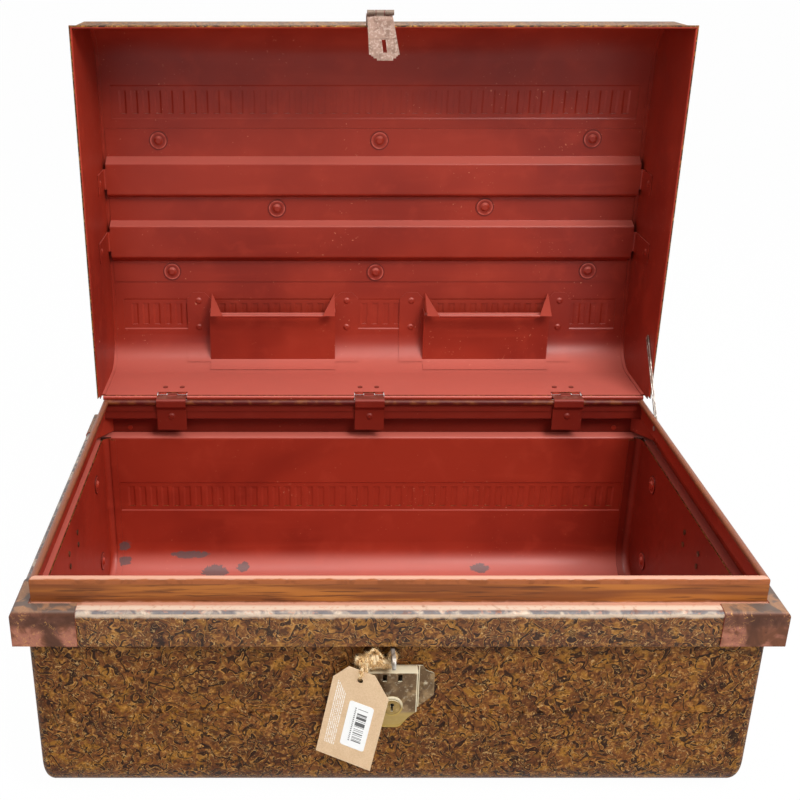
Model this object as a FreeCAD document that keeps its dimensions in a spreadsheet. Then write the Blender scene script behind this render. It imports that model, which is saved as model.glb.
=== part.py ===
import FreeCAD, Part
import Sketcher
import math
import os
from types import SimpleNamespace
from FreeCAD import Placement, Rotation, Vector

# A dome top tin trunk, standing with its lid open.
# X runs to the right along the front, Y to the back, Z up. The origin is the middle of the
# footprint on the floor. Heights and depths are in millimetres.
# "Out" sizes are measured outwards from the outer face of the neck, on all four sides.

SIZES = [
    ("neck_length", 700, "neck, outside, along X"),
    ("neck_width", 444, "neck, outside, along Y"),
    ("sheet", 1.2, "body sheet"),
    ("thin_sheet", 1.0, "lid and moulding sheet"),
    ("fit", 0.3, "clearance between sheets that seat on each other"),
    ("close_fit", 0.2, "clearance of a flange inside its wrap"),
    ("mitre_gap", 0.15, "clearance at a mitre"),
    # body wrap and ends
    ("wall_out", 6, "body wrap, outer face"),
    ("bottom_radius", 40, "bend between bottom and walls"),
    ("wrap_end", 4.7, "wrap stops this far inside the neck end"),
    ("end_out", 6.5, "end pan, outer face"),
    ("end_rounding", 10.5, "rounded edge of an end pan"),
    ("end_flange", 6.5, "flange of an end pan inside the wrap"),
    ("wall_top", 195.7, "top of the body walls"),
    ("ledge_rise", 4.0, "rise of the flared top edge"),
    ("ledge_radius", 2.8, "bend of the flared top edge"),
    # pressed bands
    ("band_margin", 20, "fluted band stops this far from the neck end"),
    ("band_width", 43, "width of a pressed band"),
    ("band_raise", 0.8, "height of a pressed band"),
    ("flute_pitch", 15, "spacing of the flutes"),
    ("flute_length", 29, "length of a flute"),
    ("flute_depth", 1.1, "height of a flute"),
    ("overlap", 0.05, "pressed forms start this far under the face they stand on"),
    ("front_band", 68, "lower edge of the front band"),
    ("back_band", 88, "lower edge of the back band"),
    # moulding
    ("rim_top", 254, "top of the wired bead"),
    ("bead_radius", 3.5, "wired bead, outside"),
    ("hem_bottom", 237.5, "lower edge of the hem inside the neck"),
    ("neck_foot", 226.5, "where the neck meets the shoulder"),
    ("shoulder_drop", 1.5, "fall of the shoulder"),
    ("skirt_out", 16.3, "skirt, outer face"),
    ("skirt_bottom", 187.5, "lower edge of the skirt"),
    ("skirt_hem", 4, "hem turned in under the skirt"),
    ("shoulder_radius", 4, "bend between shoulder and skirt"),
    ("wire_radius", 2.2, "wire in the bead"),
    # corner caps and gussets
    ("cap_reach", 62, "corner cap along each side"),
    ("cap_inner", 2.2, "corner cap, inner edge on the shoulder"),
    ("cap_bottom", 189, "corner cap, lower edge"),
    ("gusset_back", 22, "gusset, distance from the corner along X"),
    ("gusset_side", 32, "gusset, distance from the corner along Y"),
    ("gusset_bottom", 202.5, "gusset, lower edge"),
    # fasteners
    ("head_radius", 4.5, "rivet head"),
    ("head_height", 1.4, "rivet head"),
    ("shank_radius", 2, "rivet shank"),
    ("tail_radius", 3.2, "rivet tail"),
    ("tail_height", 0.8, "rivet tail"),
    ("big_head", 6, "head of a washered rivet"),
    ("washer_radius", 12, "washer"),
    ("washer_thick", 1, "washer"),
    ("bore_gap", 0.15, "clearance round a shank"),
    # hinges
    ("hinge_y", 12, "hinge axis behind the neck"),
    ("hinge_z", 251.5, "height of the hinge axis"),
    ("hinge_spread", 257, "outer hinges from the middle one"),
    ("hinge_middle", -3, "middle hinge, left of centre"),
    ("hinge_width", 38, "hinge, overall"),
    ("hinge_eye", 13.4, "lid knuckle of a hinge"),
    ("knuckle_radius", 3.2, "knuckle, outside"),
    ("hinge_pin", 1.6, "hinge pin radius"),
    ("pin_gap", 0.08, "running clearance of a pin"),
    ("strap_sheet", 1.3, "hinge strap"),
    ("strap_foot", 212, "lower end of the hinge strap"),
    ("strap_rivet", 231, "height of the hinge strap rivet"),
    ("leaf_height", 33.5, "lid leaf above the hinge axis"),
    # lid
    ("lid_out", 2.4, "lid, inner face of front and ends"),
    ("lid_back_out", 7, "lid, inner face of the back"),
    ("lid_foot", 228.2, "lower edge of the lid"),
    ("lid_back_foot", 247, "lower edge of the lid back"),
    ("lid_wrap_over", 0.5, "dome wrap beyond the end panels"),
    ("roll_radius", 1.8, "rolled lid edge, outside"),
    ("roll_bore", 0.9, "rolled lid edge, inside"),
    ("roll_wire", 0.7, "wire in the lid edge"),
    ("crown", 378.5, "top of the closed dome"),
    ("front_corner_drop", 9.5, "front corner of the dome section, below the crown"),
    ("back_corner_drop", 11, "back corner of the dome section, below the crown"),
    ("crown_front", 93, "flat of the crown, front edge"),
    ("crown_back", 84, "flat of the crown, back edge"),
    ("front_fillet", 55, "front shoulder of the dome"),
    ("back_fillet", 45, "back shoulder of the dome"),
    ("crown_fillet", 150, "bends beside the crown"),
    ("lid_front_band", 102, "front band of the lid, upper edge from the middle"),
    ("lid_back_band", 138, "back band of the lid, upper edge from the middle"),
    ("lid_flange", 4, "flange of a lid end inside the dome"),
    ("lid_open", 90, "how far the lid is open"),
    # stiffener
    ("stiffener_gap", 4.4, "stiffener, clear of each lid end"),
    ("ridge_height", 12.5, "ridges of the stiffener"),
    ("tab_width", 26, "end tabs of the stiffener"),
    ("front_tab", -27, "front tab, middle"),
    ("front_tab_drop", 55.5, "foot of the front tab below the crown"),
    ("back_tab", 56, "back tab, middle"),
    ("back_tab_drop", 78.5, "foot of the back tab below the crown"),
    ("tab_rivet", 11, "tab rivet above the foot of its tab"),
    # pockets
    ("pocket_depth", 20, "pocket, front face below the dome"),
    ("pocket_reach", 120, "blank of a pocket reaches this far below the crown"),
    ("pocket_sheet", 0.8, "pocket sheet"),
    ("pocket_length", 171, "pocket, along X"),
    ("pocket_ear", 129, "top of a pocket's ears, from the middle"),
    ("pocket_mouth", 156, "mouth of a pocket, from the middle"),
    ("pocket_floor", 221, "foot of a pocket, from the middle"),
    ("pocket_bead", 3.5, "rolled mouth of a pocket"),
    ("pocket_flange", 32, "side flange of a pocket"),
    ("pocket_chamfer", 9, "chamfer of a pocket's ears"),
    ("pocket_rivet_top", 12, "upper pocket rivets below the ears"),
    ("pocket_rivet_low", 49, "lower pocket rivets below the ears"),
    ("left_pocket", -133, "left pocket, middle"),
    ("right_pocket", 158.5, "right pocket, middle"),
    # hasp, staple and lock
    ("hasp_x", -5, "middle of hasp, staple and lock"),
    ("hasp_y", 20.5, "hasp pin in front of the neck, lid closed"),
    ("hasp_z", 215, "height of the hasp pin, lid closed"),
    ("hasp_pin_radius", 1.5, "hasp pin"),
    ("hasp_knuckle", 3.0, "hasp knuckle, outside"),
    ("hasp_width", 30, "hasp knuckles, overall"),
    ("hasp_eye", 13.4, "leaf knuckle of the hasp"),
    ("hasp_length", 51, "hasp leaf below its pin"),
    ("hasp_narrow", 28.7, "hasp leaf, upper width"),
    ("hasp_wide", 34.6, "hasp leaf, widest"),
    ("hasp_foot", 17, "hasp leaf, lower end"),
    ("hasp_taper", 11, "taper above the lower end"),
    ("hasp_step", 23, "shoulders above the lower end"),
    ("hasp_slot_width", 7.1, "slot of the hasp"),
    ("hasp_slot_top", 29, "slot of the hasp below the pin"),
    ("hasp_slot_length", 16.2, "slot of the hasp"),
    ("lock_out", 8.2, "lock plate, rear face"),
    ("lock_sheet", 1.0, "lock plate"),
    ("lock_half", 42, "lock plate, half width"),
    ("lock_top", 161, "top of the lock case"),
    ("lock_waist", 117, "lower edge of the case front"),
    ("lock_tail", 88, "lower end of the hood"),
    ("case_half", 24.8, "lock case, half width"),
    ("case_front", 21.3, "lock case, front face"),
    ("case_sheet", 1.2, "lock case wall"),
    ("lock_slot", 4.2, "slots in the lock case, width"),
    ("lock_slot_offset", 7.35, "slots in the lock case, from its middle"),
    ("plug_z", 123.5, "height of the lock plug"),
    ("plug_radius", 8.3, "lock plug"),
    ("plug_out", 24.5, "lock plug, front face"),
    ("bezel_radius", 10.5, "ring round the plug"),
    ("bezel_out", 23.5, "ring round the plug, front face"),
    ("staple_thick", 3.4, "staple"),
    ("staple_z", 178, "middle of the staple"),
    ("staple_height", 13, "staple"),
    ("staple_out", 35.3, "staple, front end"),
    ("staple_eye", 3.3, "padlock eye radius"),
    ("staple_tang", 9, "tang of the staple through the wall"),
    ("staple_clench", 14, "clenched end of the staple"),
    ("crank_pin", 1.4, "crank pin of the lock plug"),
    ("bolt_throw", 6, "travel of the lock bolt"),
    ("bolt_thick", 3, "lock bolt"),
    # handles
    ("handle_z", 155, "middle of the handle plate"),
    ("handle_length", 100, "handle plate"),
    ("handle_height", 44, "handle plate"),
    ("handle_eye_y", 43, "handle eyes from the middle"),
    ("handle_eye_z", 165, "height of the handle eyes"),
    ("handle_eye_out", 11.9, "handle axis"),
    ("bail_radius", 2.5, "handle rod"),
    ("bail_half", 52, "handle arms from the middle"),
    ("bail_drop", 48, "handle grip below its axis"),
    ("bail_bend", 12, "bend of the handle grip"),
    # stay
    ("stay_swing", 76.5, "stay studs from the hinge axis"),
    ("stay_body_angle", 188.6, "body stud seen from the hinge axis"),
    ("stay_lid_angle", 176.4, "lid stud seen from the hinge axis, lid closed"),
    ("stay_thick", 0.9, "stay arm"),
    ("stay_half", 4.5, "stay arm, half width"),
    ("stay_length", 125, "stay arm"),
    ("stud_radius", 2, "stay studs"),
    ("stud_head", 3, "heads of the stay studs"),
    ("stay_slack", 0.12, "play of a stud in the slot"),
    # tag
    ("tag_x", -78.05, "lower left corner of the tag"),
    ("tag_y", -230.5, "lower left corner of the tag"),
    ("tag_z", 59.6, "lower left corner of the tag"),
    ("tag_yaw", 19.3, "tag, right edge turned forward"),
    ("tag_spin", 10.5, "tag, turned in its own plane"),
    ("tag_width", 57.5, "tag, lower edge"),
    ("tag_left", 95, "tag, left edge"),
    ("tag_right", 91, "tag, right edge"),
    ("tag_height", 112.7, "tag, overall"),
    ("tag_top_left", 12.5, "tag, left end of the top edge"),
    ("tag_top_right", 39, "tag, right end of the top edge"),
    ("tag_hole_x", 26.5, "hole of the tag"),
    ("tag_hole_y", 101.3, "hole of the tag"),
    ("tag_hole", 2.9, "hole of the tag, radius"),
    ("tag_thick", 0.7, "tag"),
    ("label_x", 21.5, "label on the tag, left edge"),
    ("label_y", 19.7, "label on the tag, lower edge"),
    ("label_width", 25, "label on the tag"),
    ("label_height", 55.7, "label on the tag"),
    ("label_thick", 0.2, "label on the tag"),
    ("twine_radius", 1, "twine"),
    ("knot_x", -25.8, "middle of the knot"),
    ("knot_out", 15, "middle of the knot, in front of the neck"),
    ("knot_z", 171.5, "middle of the knot"),
    ("knot_length", 33.2, "knot"),
    ("knot_depth", 11, "knot"),
    ("knot_height", 12, "knot"),
]

doc = FreeCAD.newDocument("DomeTopTrunk")
sheet = doc.addObject("Spreadsheet::Sheet", "Sizes")
for row, (alias, value, note) in enumerate(SIZES, start=1):
    sheet.set("A%d" % row, note)
    sheet.set("B%d" % row, str(value))
    sheet.setAlias("B%d" % row, alias)
doc.recompute()
s = SimpleNamespace(**{alias: float(sheet.get(alias)) for alias, value, note in SIZES})

# Lengths that follow from the driving dimensions.
HALF_X = s.neck_length / 2
HALF_Y = s.neck_width / 2
WALL_Y = HALF_Y + s.wall_out
LEDGE_LEAN = math.atan2(s.ledge_rise, s.skirt_out - s.thin_sheet - s.wall_out)
LEDGE_OUT = s.skirt_out - s.thin_sheet - s.fit - s.sheet * math.sin(LEDGE_LEAN)
STIFFENER_HALF = HALF_X + s.lid_out - s.stiffener_gap
HINGE = Vector(0, HALF_Y + s.hinge_y, s.hinge_z)
ALONG = Vector(1, 0, 0)
DEPTH = Vector(0, 1, 0)
UP = Vector(0, 0, 1)
nodes = []


# ---------------------------------------------------------------- drawing helpers
def left_of(p, q):
    run = math.hypot(q[0] - p[0], q[1] - p[1])
    return (-(q[1] - p[1]) / run, (q[0] - p[0]) / run)


def moved_out(points, offset, closed):
    # Each corner moves to where its two runs meet once both are shifted to the left.
    count = len(points)
    result = []
    for i, (u, v) in enumerate(points):
        before = points[i - 1] if closed or i else None
        after = points[(i + 1) % count] if closed or i < count - 1 else None
        n1 = left_of(before, (u, v)) if before else left_of((u, v), after)
        n2 = left_of((u, v), after) if after else n1
        scale = offset / (1 + n1[0] * n2[0] + n1[1] * n2[1])
        result.append((u + (n1[0] + n2[0]) * scale, v + (n1[1] + n2[1]) * scale))
    return result


def outline(points, radii, offset=0, closed=False):
    # Straight runs joined by tangent arcs: a list of ("line", p, q) and ("arc", p, middle, q).
    count = len(points)
    corners = moved_out(points, offset, closed) if offset else list(points)
    cuts = []
    for i in range(count):
        inner = closed or 0 < i < count - 1
        if not inner or not radii[i]:
            cuts.append((corners[i], None, corners[i]))
            continue
        p, c, q = corners[i - 1], corners[i], corners[(i + 1) % count]
        a = ((p[0] - c[0]), (p[1] - c[1]))
        b = ((q[0] - c[0]), (q[1] - c[1]))
        la, lb = math.hypot(*a), math.hypot(*b)
        a, b = (a[0] / la, a[1] / la), (b[0] / lb, b[1] / lb)
        turn = math.copysign(1, b[0] * a[1] - b[1] * a[0])
        radius = radii[i] - turn * offset
        if radius <= 0.01:
            cuts.append((c, None, c))
            continue
        half = math.acos(max(-1, min(1, a[0] * b[0] + a[1] * b[1]))) / 2
        run = min(radius / math.tan(half), 0.49 * la, 0.49 * lb)
        radius = run * math.tan(half)
        start = (c[0] + a[0] * run, c[1] + a[1] * run)
        end = (c[0] + b[0] * run, c[1] + b[1] * run)
        reach = radius / math.sin(half) - radius
        bisector = (a[0] + b[0], a[1] + b[1])
        size = math.hypot(*bisector)
        middle = (c[0] + bisector[0] / size * reach, c[1] + bisector[1] / size * reach)
        cuts.append((start, middle, end))
    pieces = []
    for i in range(count):
        start, middle, end = cuts[i]
        if middle:
            pieces.append(("arc", start, middle, end))
        if closed or i < count - 1:
            after = cuts[(i + 1) % count][0]
            if math.hypot(after[0] - end[0], after[1] - end[1]) > 1e-6:
                pieces.append(("line", end, after))
    return pieces


def edges_of(pieces, place):
    edges = []
    for piece in pieces:
        ends = [place(*point) for point in piece[1:]]
        if piece[0] == "line":
            edges.append(Part.makeLine(ends[0], ends[1]))
        else:
            edges.append(Part.Arc(ends[0], ends[1], ends[2]).toShape())
    return edges


def face_of(edges):
    return Part.Face(Part.Wire(Part.__sortEdges__(edges)))


def strip(points, radii, thick, place):
    # Section of a bent sheet: the given line is one face, the other lies "thick" to its left.
    one = outline(points, radii)
    two = outline(points, radii, thick)
    edges = edges_of(one, place) + edges_of(two, place)
    edges.append(Part.makeLine(place(*one[0][1]), place(*two[0][1])))
    edges.append(Part.makeLine(place(*one[-1][-1]), place(*two[-1][-1])))
    return face_of(edges)


def region(points, radii, place, offset=0):
    return face_of(edges_of(outline(points, radii, offset, closed=True), place))


def slab(corner, a, b, c):
    ring = [corner, corner + a, corner + a + b, corner + b, corner]
    return Part.Face(Part.makePolygon(ring)).extrude(c)


def block(x0, x1, y0, y1, z0, z1):
    return Part.makeBox(x1 - x0, y1 - y0, z1 - z0, Vector(x0, y0, z0))


def rod(start, end, radius):
    return Part.makeCylinder(radius, (end - start).Length, start, end - start)


def fused(first, *others):
    result = first.fuse(list(others)) if others else first
    result = result.removeSplitter()
    return result.Solids[0] if len(result.Solids) == 1 else result


def mirrored(shape):
    return shape.mirror(Vector(0, 0, 0), ALONG)


def add(label, shape, placement=None):
    node = doc.addObject("Part::Feature", label)
    node.Label = label
    node.Shape = shape
    if placement:
        node.Placement = placement
    nodes.append(node)
    return node


def in_yz(x):
    return lambda y, z: Vector(x, y, z)


def in_xz(y):
    return lambda x, z: Vector(x, y, z)


# The four sides share one section drawing: out from the neck, and up.
SIDES = {
    "front": (lambda out, z: Vector(0, -(HALF_Y + out), z), ALONG, HALF_X),
    "back": (lambda out, z: Vector(0, HALF_Y + out, z), ALONG, HALF_X),
    "left": (lambda out, z: Vector(-(HALF_X + out), 0, z), DEPTH, HALF_Y),
    "right": (lambda out, z: Vector(HALF_X + out, 0, z), DEPTH, HALF_Y),
}
MITRE_IN, MITRE_OUT = -12, 24


def mitre(side, gap, low=150, high=420):
    # The wedge of space between the two corner diagonals on one side.
    place, along, half = SIDES[side]
    trim = gap * math.sqrt(2)
    ring = [place(MITRE_IN, low) - along * (half + MITRE_IN - trim),
            place(MITRE_IN, low) + along * (half + MITRE_IN - trim),
            place(MITRE_OUT, low) + along * (half + MITRE_OUT - trim),
            place(MITRE_OUT, low) - along * (half + MITRE_OUT - trim)]
    return Part.Face(Part.makePolygon(ring + ring[:1])).extrude(UP * (high - low))


def side_run(face, side, low, high):
    along = SIDES[side][1]
    moved = face.copy()
    moved.translate(along * low)
    return moved.extrude(along * (high - low))


def full_side(face, side, gap):
    half = SIDES[side][2] + MITRE_OUT
    return side_run(face, side, -half, half).common(mitre(side, gap))


def pressed_band(wall, base, across, out, width, flutes_from, thick):
    # A raised panel with a row of upright flutes, pressed into a flat stretch of sheet.
    # base is the middle of the band's lower edge on the outer face.
    half = HALF_X - s.band_margin
    count = int(2 * half / s.flute_pitch)
    start = -count * s.flute_pitch / 2
    panel_half = half + s.flute_pitch / 2
    ease = 2 * s.band_raise
    land, ramp = s.flute_pitch / 3, s.flute_pitch / 6
    low = s.band_raise - s.overlap
    top = s.band_raise + s.flute_depth

    def panel(drop, foot):
        line = [(0, foot), (0, 0), (ease, s.band_raise), (width - ease, s.band_raise), (width, 0),
                (width, foot)]
        ring = [base - ALONG * panel_half + across * a + out * (o - drop) for a, o in line]
        return Part.Face(Part.makePolygon(ring + ring[:1])).extrude(ALONG * 2 * panel_half)

    def flutes(drop, foot):
        line = [(start, foot)]
        for i in range(count):
            left = start + i * s.flute_pitch + land / 2
            line += [(left, low), (left + ramp, top), (left + ramp + land, top), (left + 2 * ramp + land, low)]
        line.append((-start, foot))
        line.insert(1, (start, low))
        line.insert(-1, (-start, low))
        foot_line = base + across * flutes_from - out * drop
        ring = [foot_line + ALONG * a + out * o for a, o in line]
        return Part.Face(Part.makePolygon(ring + ring[:1])).extrude(across * s.flute_length)

    bump = -thick / 2
    proud = wall.fuse([panel(0, bump), flutes(0, bump)])
    return proud.cut([panel(thick, -1), flutes(thick, -1)])


def rivet(seat, out, grip, head=None, head_height=None, tail=None, shank=None):
    # Low conical head on "seat", shank back through "grip" of metal, flat tail behind.
    head = head or s.head_radius
    head_height = head_height or s.head_height
    tail = tail or s.tail_radius
    shank = shank or s.shank_radius
    top = Part.makeCone(head, head * 0.55, head_height, seat, out)
    stem = Part.makeCylinder(shank, grip, seat - out * grip, out)
    foot = Part.makeCylinder(tail, s.tail_height, seat - out * (grip + s.tail_height), out)
    return fused(top, stem, foot)


def bored(shape, seat, out, grip, shank=None):
    hole = (shank or s.shank_radius) + s.bore_gap
    return shape.cut(Part.makeCylinder(hole, grip + 2, seat - out * (grip + 1), out))


# ---------------------------------------------------------------- body wrap
def ledge_points(side_out):
    return [(LEDGE_OUT, s.wall_top + s.ledge_rise), (side_out, s.wall_top)]


def lip(side, side_out):
    # The sloping edge alone, carried to the corner diagonal.
    place = SIDES[side][0]
    tip, root = ledge_points(side_out)
    share = 0.8
    near = (tip[0] + (root[0] - tip[0]) * share, tip[1] + (root[1] - tip[1]) * share)
    return full_side(strip([tip, near], [0, 0], s.sheet, place), side, s.mitre_gap)


def body_wrap():
    tip, root = ledge_points(s.wall_out)
    front = [(-(HALF_Y + out), z) for out, z in (tip, root)]
    back = [(HALF_Y + out, z) for out, z in (root, tip)]
    points = front + [(-WALL_Y, 0), (WALL_Y, 0)] + back
    radii = [0, s.ledge_radius, s.bottom_radius, s.bottom_radius, s.ledge_radius, 0]
    stop = HALF_X - s.wrap_end
    wrap = strip(points, radii, s.sheet, in_yz(-stop)).extrude(ALONG * 2 * stop)
    inset = (s.band_width - s.flute_length) / 2
    wrap = pressed_band(wrap, Vector(0, -WALL_Y, s.front_band), UP, -DEPTH, s.band_width, inset, s.sheet)
    wrap = pressed_band(wrap, Vector(0, WALL_Y, s.back_band), UP, DEPTH, s.band_width, inset, s.sheet)
    wrap = fused(wrap, lip("front", s.wall_out), lip("back", s.wall_out))
    for spot in lock_rivets():
        wrap = bored(wrap, *spot)
    half_slot = s.staple_thick / 2 + s.bore_gap
    half_tang = s.staple_tang / 2 + s.bore_gap
    return wrap.cut(block(s.hasp_x - half_slot, s.hasp_x + half_slot, -WALL_Y - 1, -WALL_Y + 2,
                          s.staple_z - half_tang, s.staple_z + half_tang))


def lock_rivets():
    seat = HALF_Y + s.lock_out + s.lock_sheet
    grip = seat - (WALL_Y - s.sheet) + s.close_fit
    return [(Vector(s.hasp_x + step, -seat, 138), Vector(0, -1, 0), grip) for step in (-33.5, 33.5)]


def u_block(inset, top, x0, x1, rounding=0):
    half = WALL_Y - inset
    radius = s.bottom_radius - inset
    face = region([(-half, top), (-half, inset), (half, inset), (half, top)],
                  [0, radius, radius, 0], in_yz(x0))
    solid = face.extrude(ALONG * (x1 - x0))
    if rounding:
        rim = [edge for edge in solid.Edges
               if all(abs(v.X - x1) < 1e-4 for v in edge.Vertexes)
               and not all(abs(v.Z - top) < 1e-4 for v in edge.Vertexes)]
        solid = solid.makeFillet(rounding, rim)
    return solid


def body_end():
    outer = HALF_X + s.end_out
    seam = HALF_X - s.wrap_end + s.close_fit
    inset = s.sheet + s.close_fit
    top = s.wall_top
    over = top + 10
    whole = u_block(0, top, seam, outer, s.end_rounding)
    hollow = u_block(s.sheet, over, seam - 2, outer - s.sheet, s.end_rounding - s.sheet)
    core = u_block(inset + s.sheet, over, seam - s.end_flange - 1, seam + s.sheet)
    web = whole.common(u_block(0, top, seam, seam + s.sheet)).cut(core)
    flange = u_block(inset, top - 2, seam - s.end_flange, seam).cut(core)
    pan = whole.cut(hollow).fuse([web, flange])
    place = SIDES["right"][0]
    tip, root = ledge_points(s.end_out)
    foot = (s.end_out, s.wall_top - 6)
    ledge = strip([tip, root, foot], [0, s.ledge_radius, 0], s.sheet, place)
    flat = WALL_Y - s.end_rounding
    pan = fused(pan, side_run(ledge, "right", -flat, flat), lip("right", s.end_out))
    for seat, out, grip, shank in end_wall_rivets(1) + handle_rivets(1):
        pan = bored(pan, seat, out, grip, shank)
    return pan


def end_wall_rivets(sign):
    # Washered rivets on the inner face of an end wall, near the front and the back.
    inner = HALF_X + s.end_out - s.sheet - s.washer_thick - s.close_fit
    grip = s.sheet + s.washer_thick + 2 * s.close_fit
    spots = [(y, z) for y in (-159, 159) for z in (161, 49)]
    return [(Vector(sign * inner, y, z), Vector(-sign, 0, 0), grip, s.shank_radius * 1.5)
            for y, z in spots]


def handle_rivets(sign):
    seat = HALF_X + s.end_out + s.fit + s.sheet
    grip = 2 * s.sheet + s.fit + s.close_fit
    return [(Vector(sign * seat, y, z), Vector(sign, 0, 0), grip, s.shank_radius)
            for y in (-25, 25) for z in (150, 166)]


def washers(spots):
    rings = []
    for centre, out in spots:
        disc = Part.makeCylinder(s.washer_radius, s.washer_thick, centre, out)
        bore = s.shank_radius * 1.5 + s.bore_gap
        rings.append(disc.cut(Part.makeCylinder(bore, s.washer_thick, centre, out)))
    return Part.makeCompound(rings)


add("body_wrap", body_wrap())
right_end = body_end()
add("body_end_right", right_end)
add("body_end_left", mirrored(right_end))
inner_rivets = end_wall_rivets(1) + end_wall_rivets(-1)
add("end_wall_washers", washers([(seat - out * s.washer_thick, out)
                                 for seat, out, grip, shank in inner_rivets]))
add("end_wall_rivets", Part.makeCompound([
    rivet(seat, out, grip, head=s.big_head, head_height=2.2, shank=shank, tail=s.big_head * 0.8)
    for seat, out, grip, shank in inner_rivets]))


# ---------------------------------------------------------------- moulding round the neck
def rim_section(place):
    bead = (-s.bead_radius, s.rim_top - s.bead_radius)
    shoulder_z = s.neck_foot - s.shoulder_drop
    sheet_out = strip([(0, bead[1]), (0, s.neck_foot), (s.skirt_out, shoulder_z),
                       (s.skirt_out, s.skirt_bottom), (s.skirt_out - s.skirt_hem, s.skirt_bottom)],
                      [0, 1.5, s.shoulder_radius, 1.5, 0], -s.thin_sheet, place)
    leg_out = -s.thin_sheet - s.fit
    leg = strip([(leg_out, bead[1] - s.bead_radius + 0.8), (leg_out, s.hem_bottom)], [0, 0],
                -s.thin_sheet, place)
    centre = place(*bead)
    normal = (place(1, 0) - place(0, 0)).cross(UP)
    ring = Part.Face(Part.Wire(Part.makeCircle(s.bead_radius, centre, normal)))
    hole = Part.Face(Part.Wire(Part.makeCircle(s.bead_radius - s.thin_sheet, centre, normal)))
    return sheet_out, leg, ring, hole


def rim_side(side):
    sheet_out, leg, ring, hole = [full_side(face, side, s.mitre_gap)
                                  for face in rim_section(SIDES[side][0])]
    moulding = fused(sheet_out, leg, ring).cut(hole)
    for seat, out, grip in corner_rivets() + strap_rivets() + [stay_rivet()]:
        if abs((seat - SIDES[side][0](0, seat.z)).dot(out)) < s.skirt_out + 3:
            moulding = bored(moulding, seat, out, grip)
    return moulding


def corner_rivets():
    # One rivet through the cap and the skirt on each face of each corner.
    out = s.skirt_out + s.close_fit + s.thin_sheet
    grip = 2 * s.thin_sheet + 2 * s.close_fit
    spots = []
    for sx in (-1, 1):
        for sy in (-1, 1):
            x, y, z = sx * (HALF_X - 30), sy * (HALF_Y - 30), 207
            spots.append((Vector(x, sy * (HALF_Y + out), z), Vector(0, sy, 0), grip))
            spots.append((Vector(sx * (HALF_X + out), y, z), Vector(sx, 0, 0), grip))
    return spots


def hinge_centres():
    return [s.hinge_middle - 2 + step * s.hinge_spread for step in (-1, 0, 1)]


def strap_rivets():
    # Through the hinge strap inside the neck, closed on the outside of the neck.
    seat = HALF_Y - s.thin_sheet * 2 - 2 * s.fit - s.strap_sheet
    grip = HALF_Y - seat + s.close_fit
    return [(Vector(x, seat, s.strap_rivet), Vector(0, -1, 0), grip) for x in hinge_centres()]


def stay_point(angle):
    turn = math.radians(angle)
    return Vector(0, HINGE.y + s.stay_swing * math.cos(turn), HINGE.z + s.stay_swing * math.sin(turn))


def stay_rivet():
    spot = stay_point(s.stay_body_angle)
    return (Vector(HALF_X + s.fit + 0.1 + s.stay_thick + s.fit, spot.y, spot.z), ALONG,
            2 * s.thin_sheet + 4 * s.fit + s.stay_thick)


def frame_wire(radius, half_x, half_y, z, closed=True):
    corners = [Vector(-half_x, half_y, z), Vector(-half_x, -half_y, z),
               Vector(half_x, -half_y, z), Vector(half_x, half_y, z)]
    runs = [rod(corners[i], corners[i + 1], radius) for i in range(3)]
    if closed:
        runs.append(rod(corners[3], corners[0], radius))
    knees = corners if closed else corners[1:3]
    return fused(*runs, *[Part.makeSphere(radius, corner) for corner in knees])


def corner_cap(sx, sy):
    rise = s.close_fit + s.thin_sheet
    drop = s.shoulder_drop / s.skirt_out
    out = s.skirt_out + rise
    inner_z = s.neck_foot - drop * s.cap_inner + rise
    outer_z = s.neck_foot - drop * out + rise
    points = [(s.cap_inner, inner_z), (out, outer_z), (out, s.cap_bottom)]
    leaves = []
    for side, sign in (("front" if sy < 0 else "back", sx), ("left" if sx < 0 else "right", sy)):
        section = strip(points, [0, s.shoulder_radius + rise, 0], -s.thin_sheet, SIDES[side][0])
        half = SIDES[side][2]
        ends = sorted((sign * (half + out - s.cap_reach), sign * (half + MITRE_OUT)))
        leaves.append(side_run(section, side, *ends).common(mitre(side, 0)))
    cap = fused(*leaves)
    for seat, axis, grip in corner_rivets():
        if seat.x * sx > 0 and seat.y * sy > 0:
            cap = bored(cap, seat, axis, grip)
    return cap


def corner_gussets():
    # Upright plates across the hollow of the moulding at each corner.
    face = s.skirt_out - s.thin_sheet - s.fit
    x1, y1 = HALF_X + face, HALF_Y + face
    x0, y0 = x1 - s.gusset_back, y1 - s.gusset_side
    run = Vector(x1 - x0, y0 - y1, 0)
    inward = Vector(y0 - y1, x0 - x1, 0).normalize() * s.thin_sheet
    top = s.neck_foot - s.shoulder_drop - s.thin_sheet - s.fit
    ring = [Vector(x0, y1, 0), Vector(x1, y0, 0), Vector(x1, y0, 0) + inward,
            Vector(x0, y1, 0) + inward]
    ring = [point + UP * s.gusset_bottom for point in ring]
    plate = Part.Face(Part.makePolygon(ring + ring[:1])).extrude(UP * (top - s.gusset_bottom))
    pair = [plate, mirrored(plate)]
    pair += [piece.mirror(Vector(0, 0, 0), DEPTH) for piece in pair]
    return Part.makeCompound(pair)


for side in SIDES:
    add("rim_" + side, rim_side(side))
add("rim_wire", frame_wire(s.wire_radius, HALF_X - s.bead_radius, HALF_Y - s.bead_radius,
                           s.rim_top - s.bead_radius))
for name, sx, sy in (("fl", -1, -1), ("fr", 1, -1), ("bl", -1, 1), ("br", 1, 1)):
    add("corner_cap_" + name, corner_cap(sx, sy))
add("corner_gussets", corner_gussets())
add("corner_rivets", Part.makeCompound([rivet(*spot) for spot in corner_rivets()]))


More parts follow.
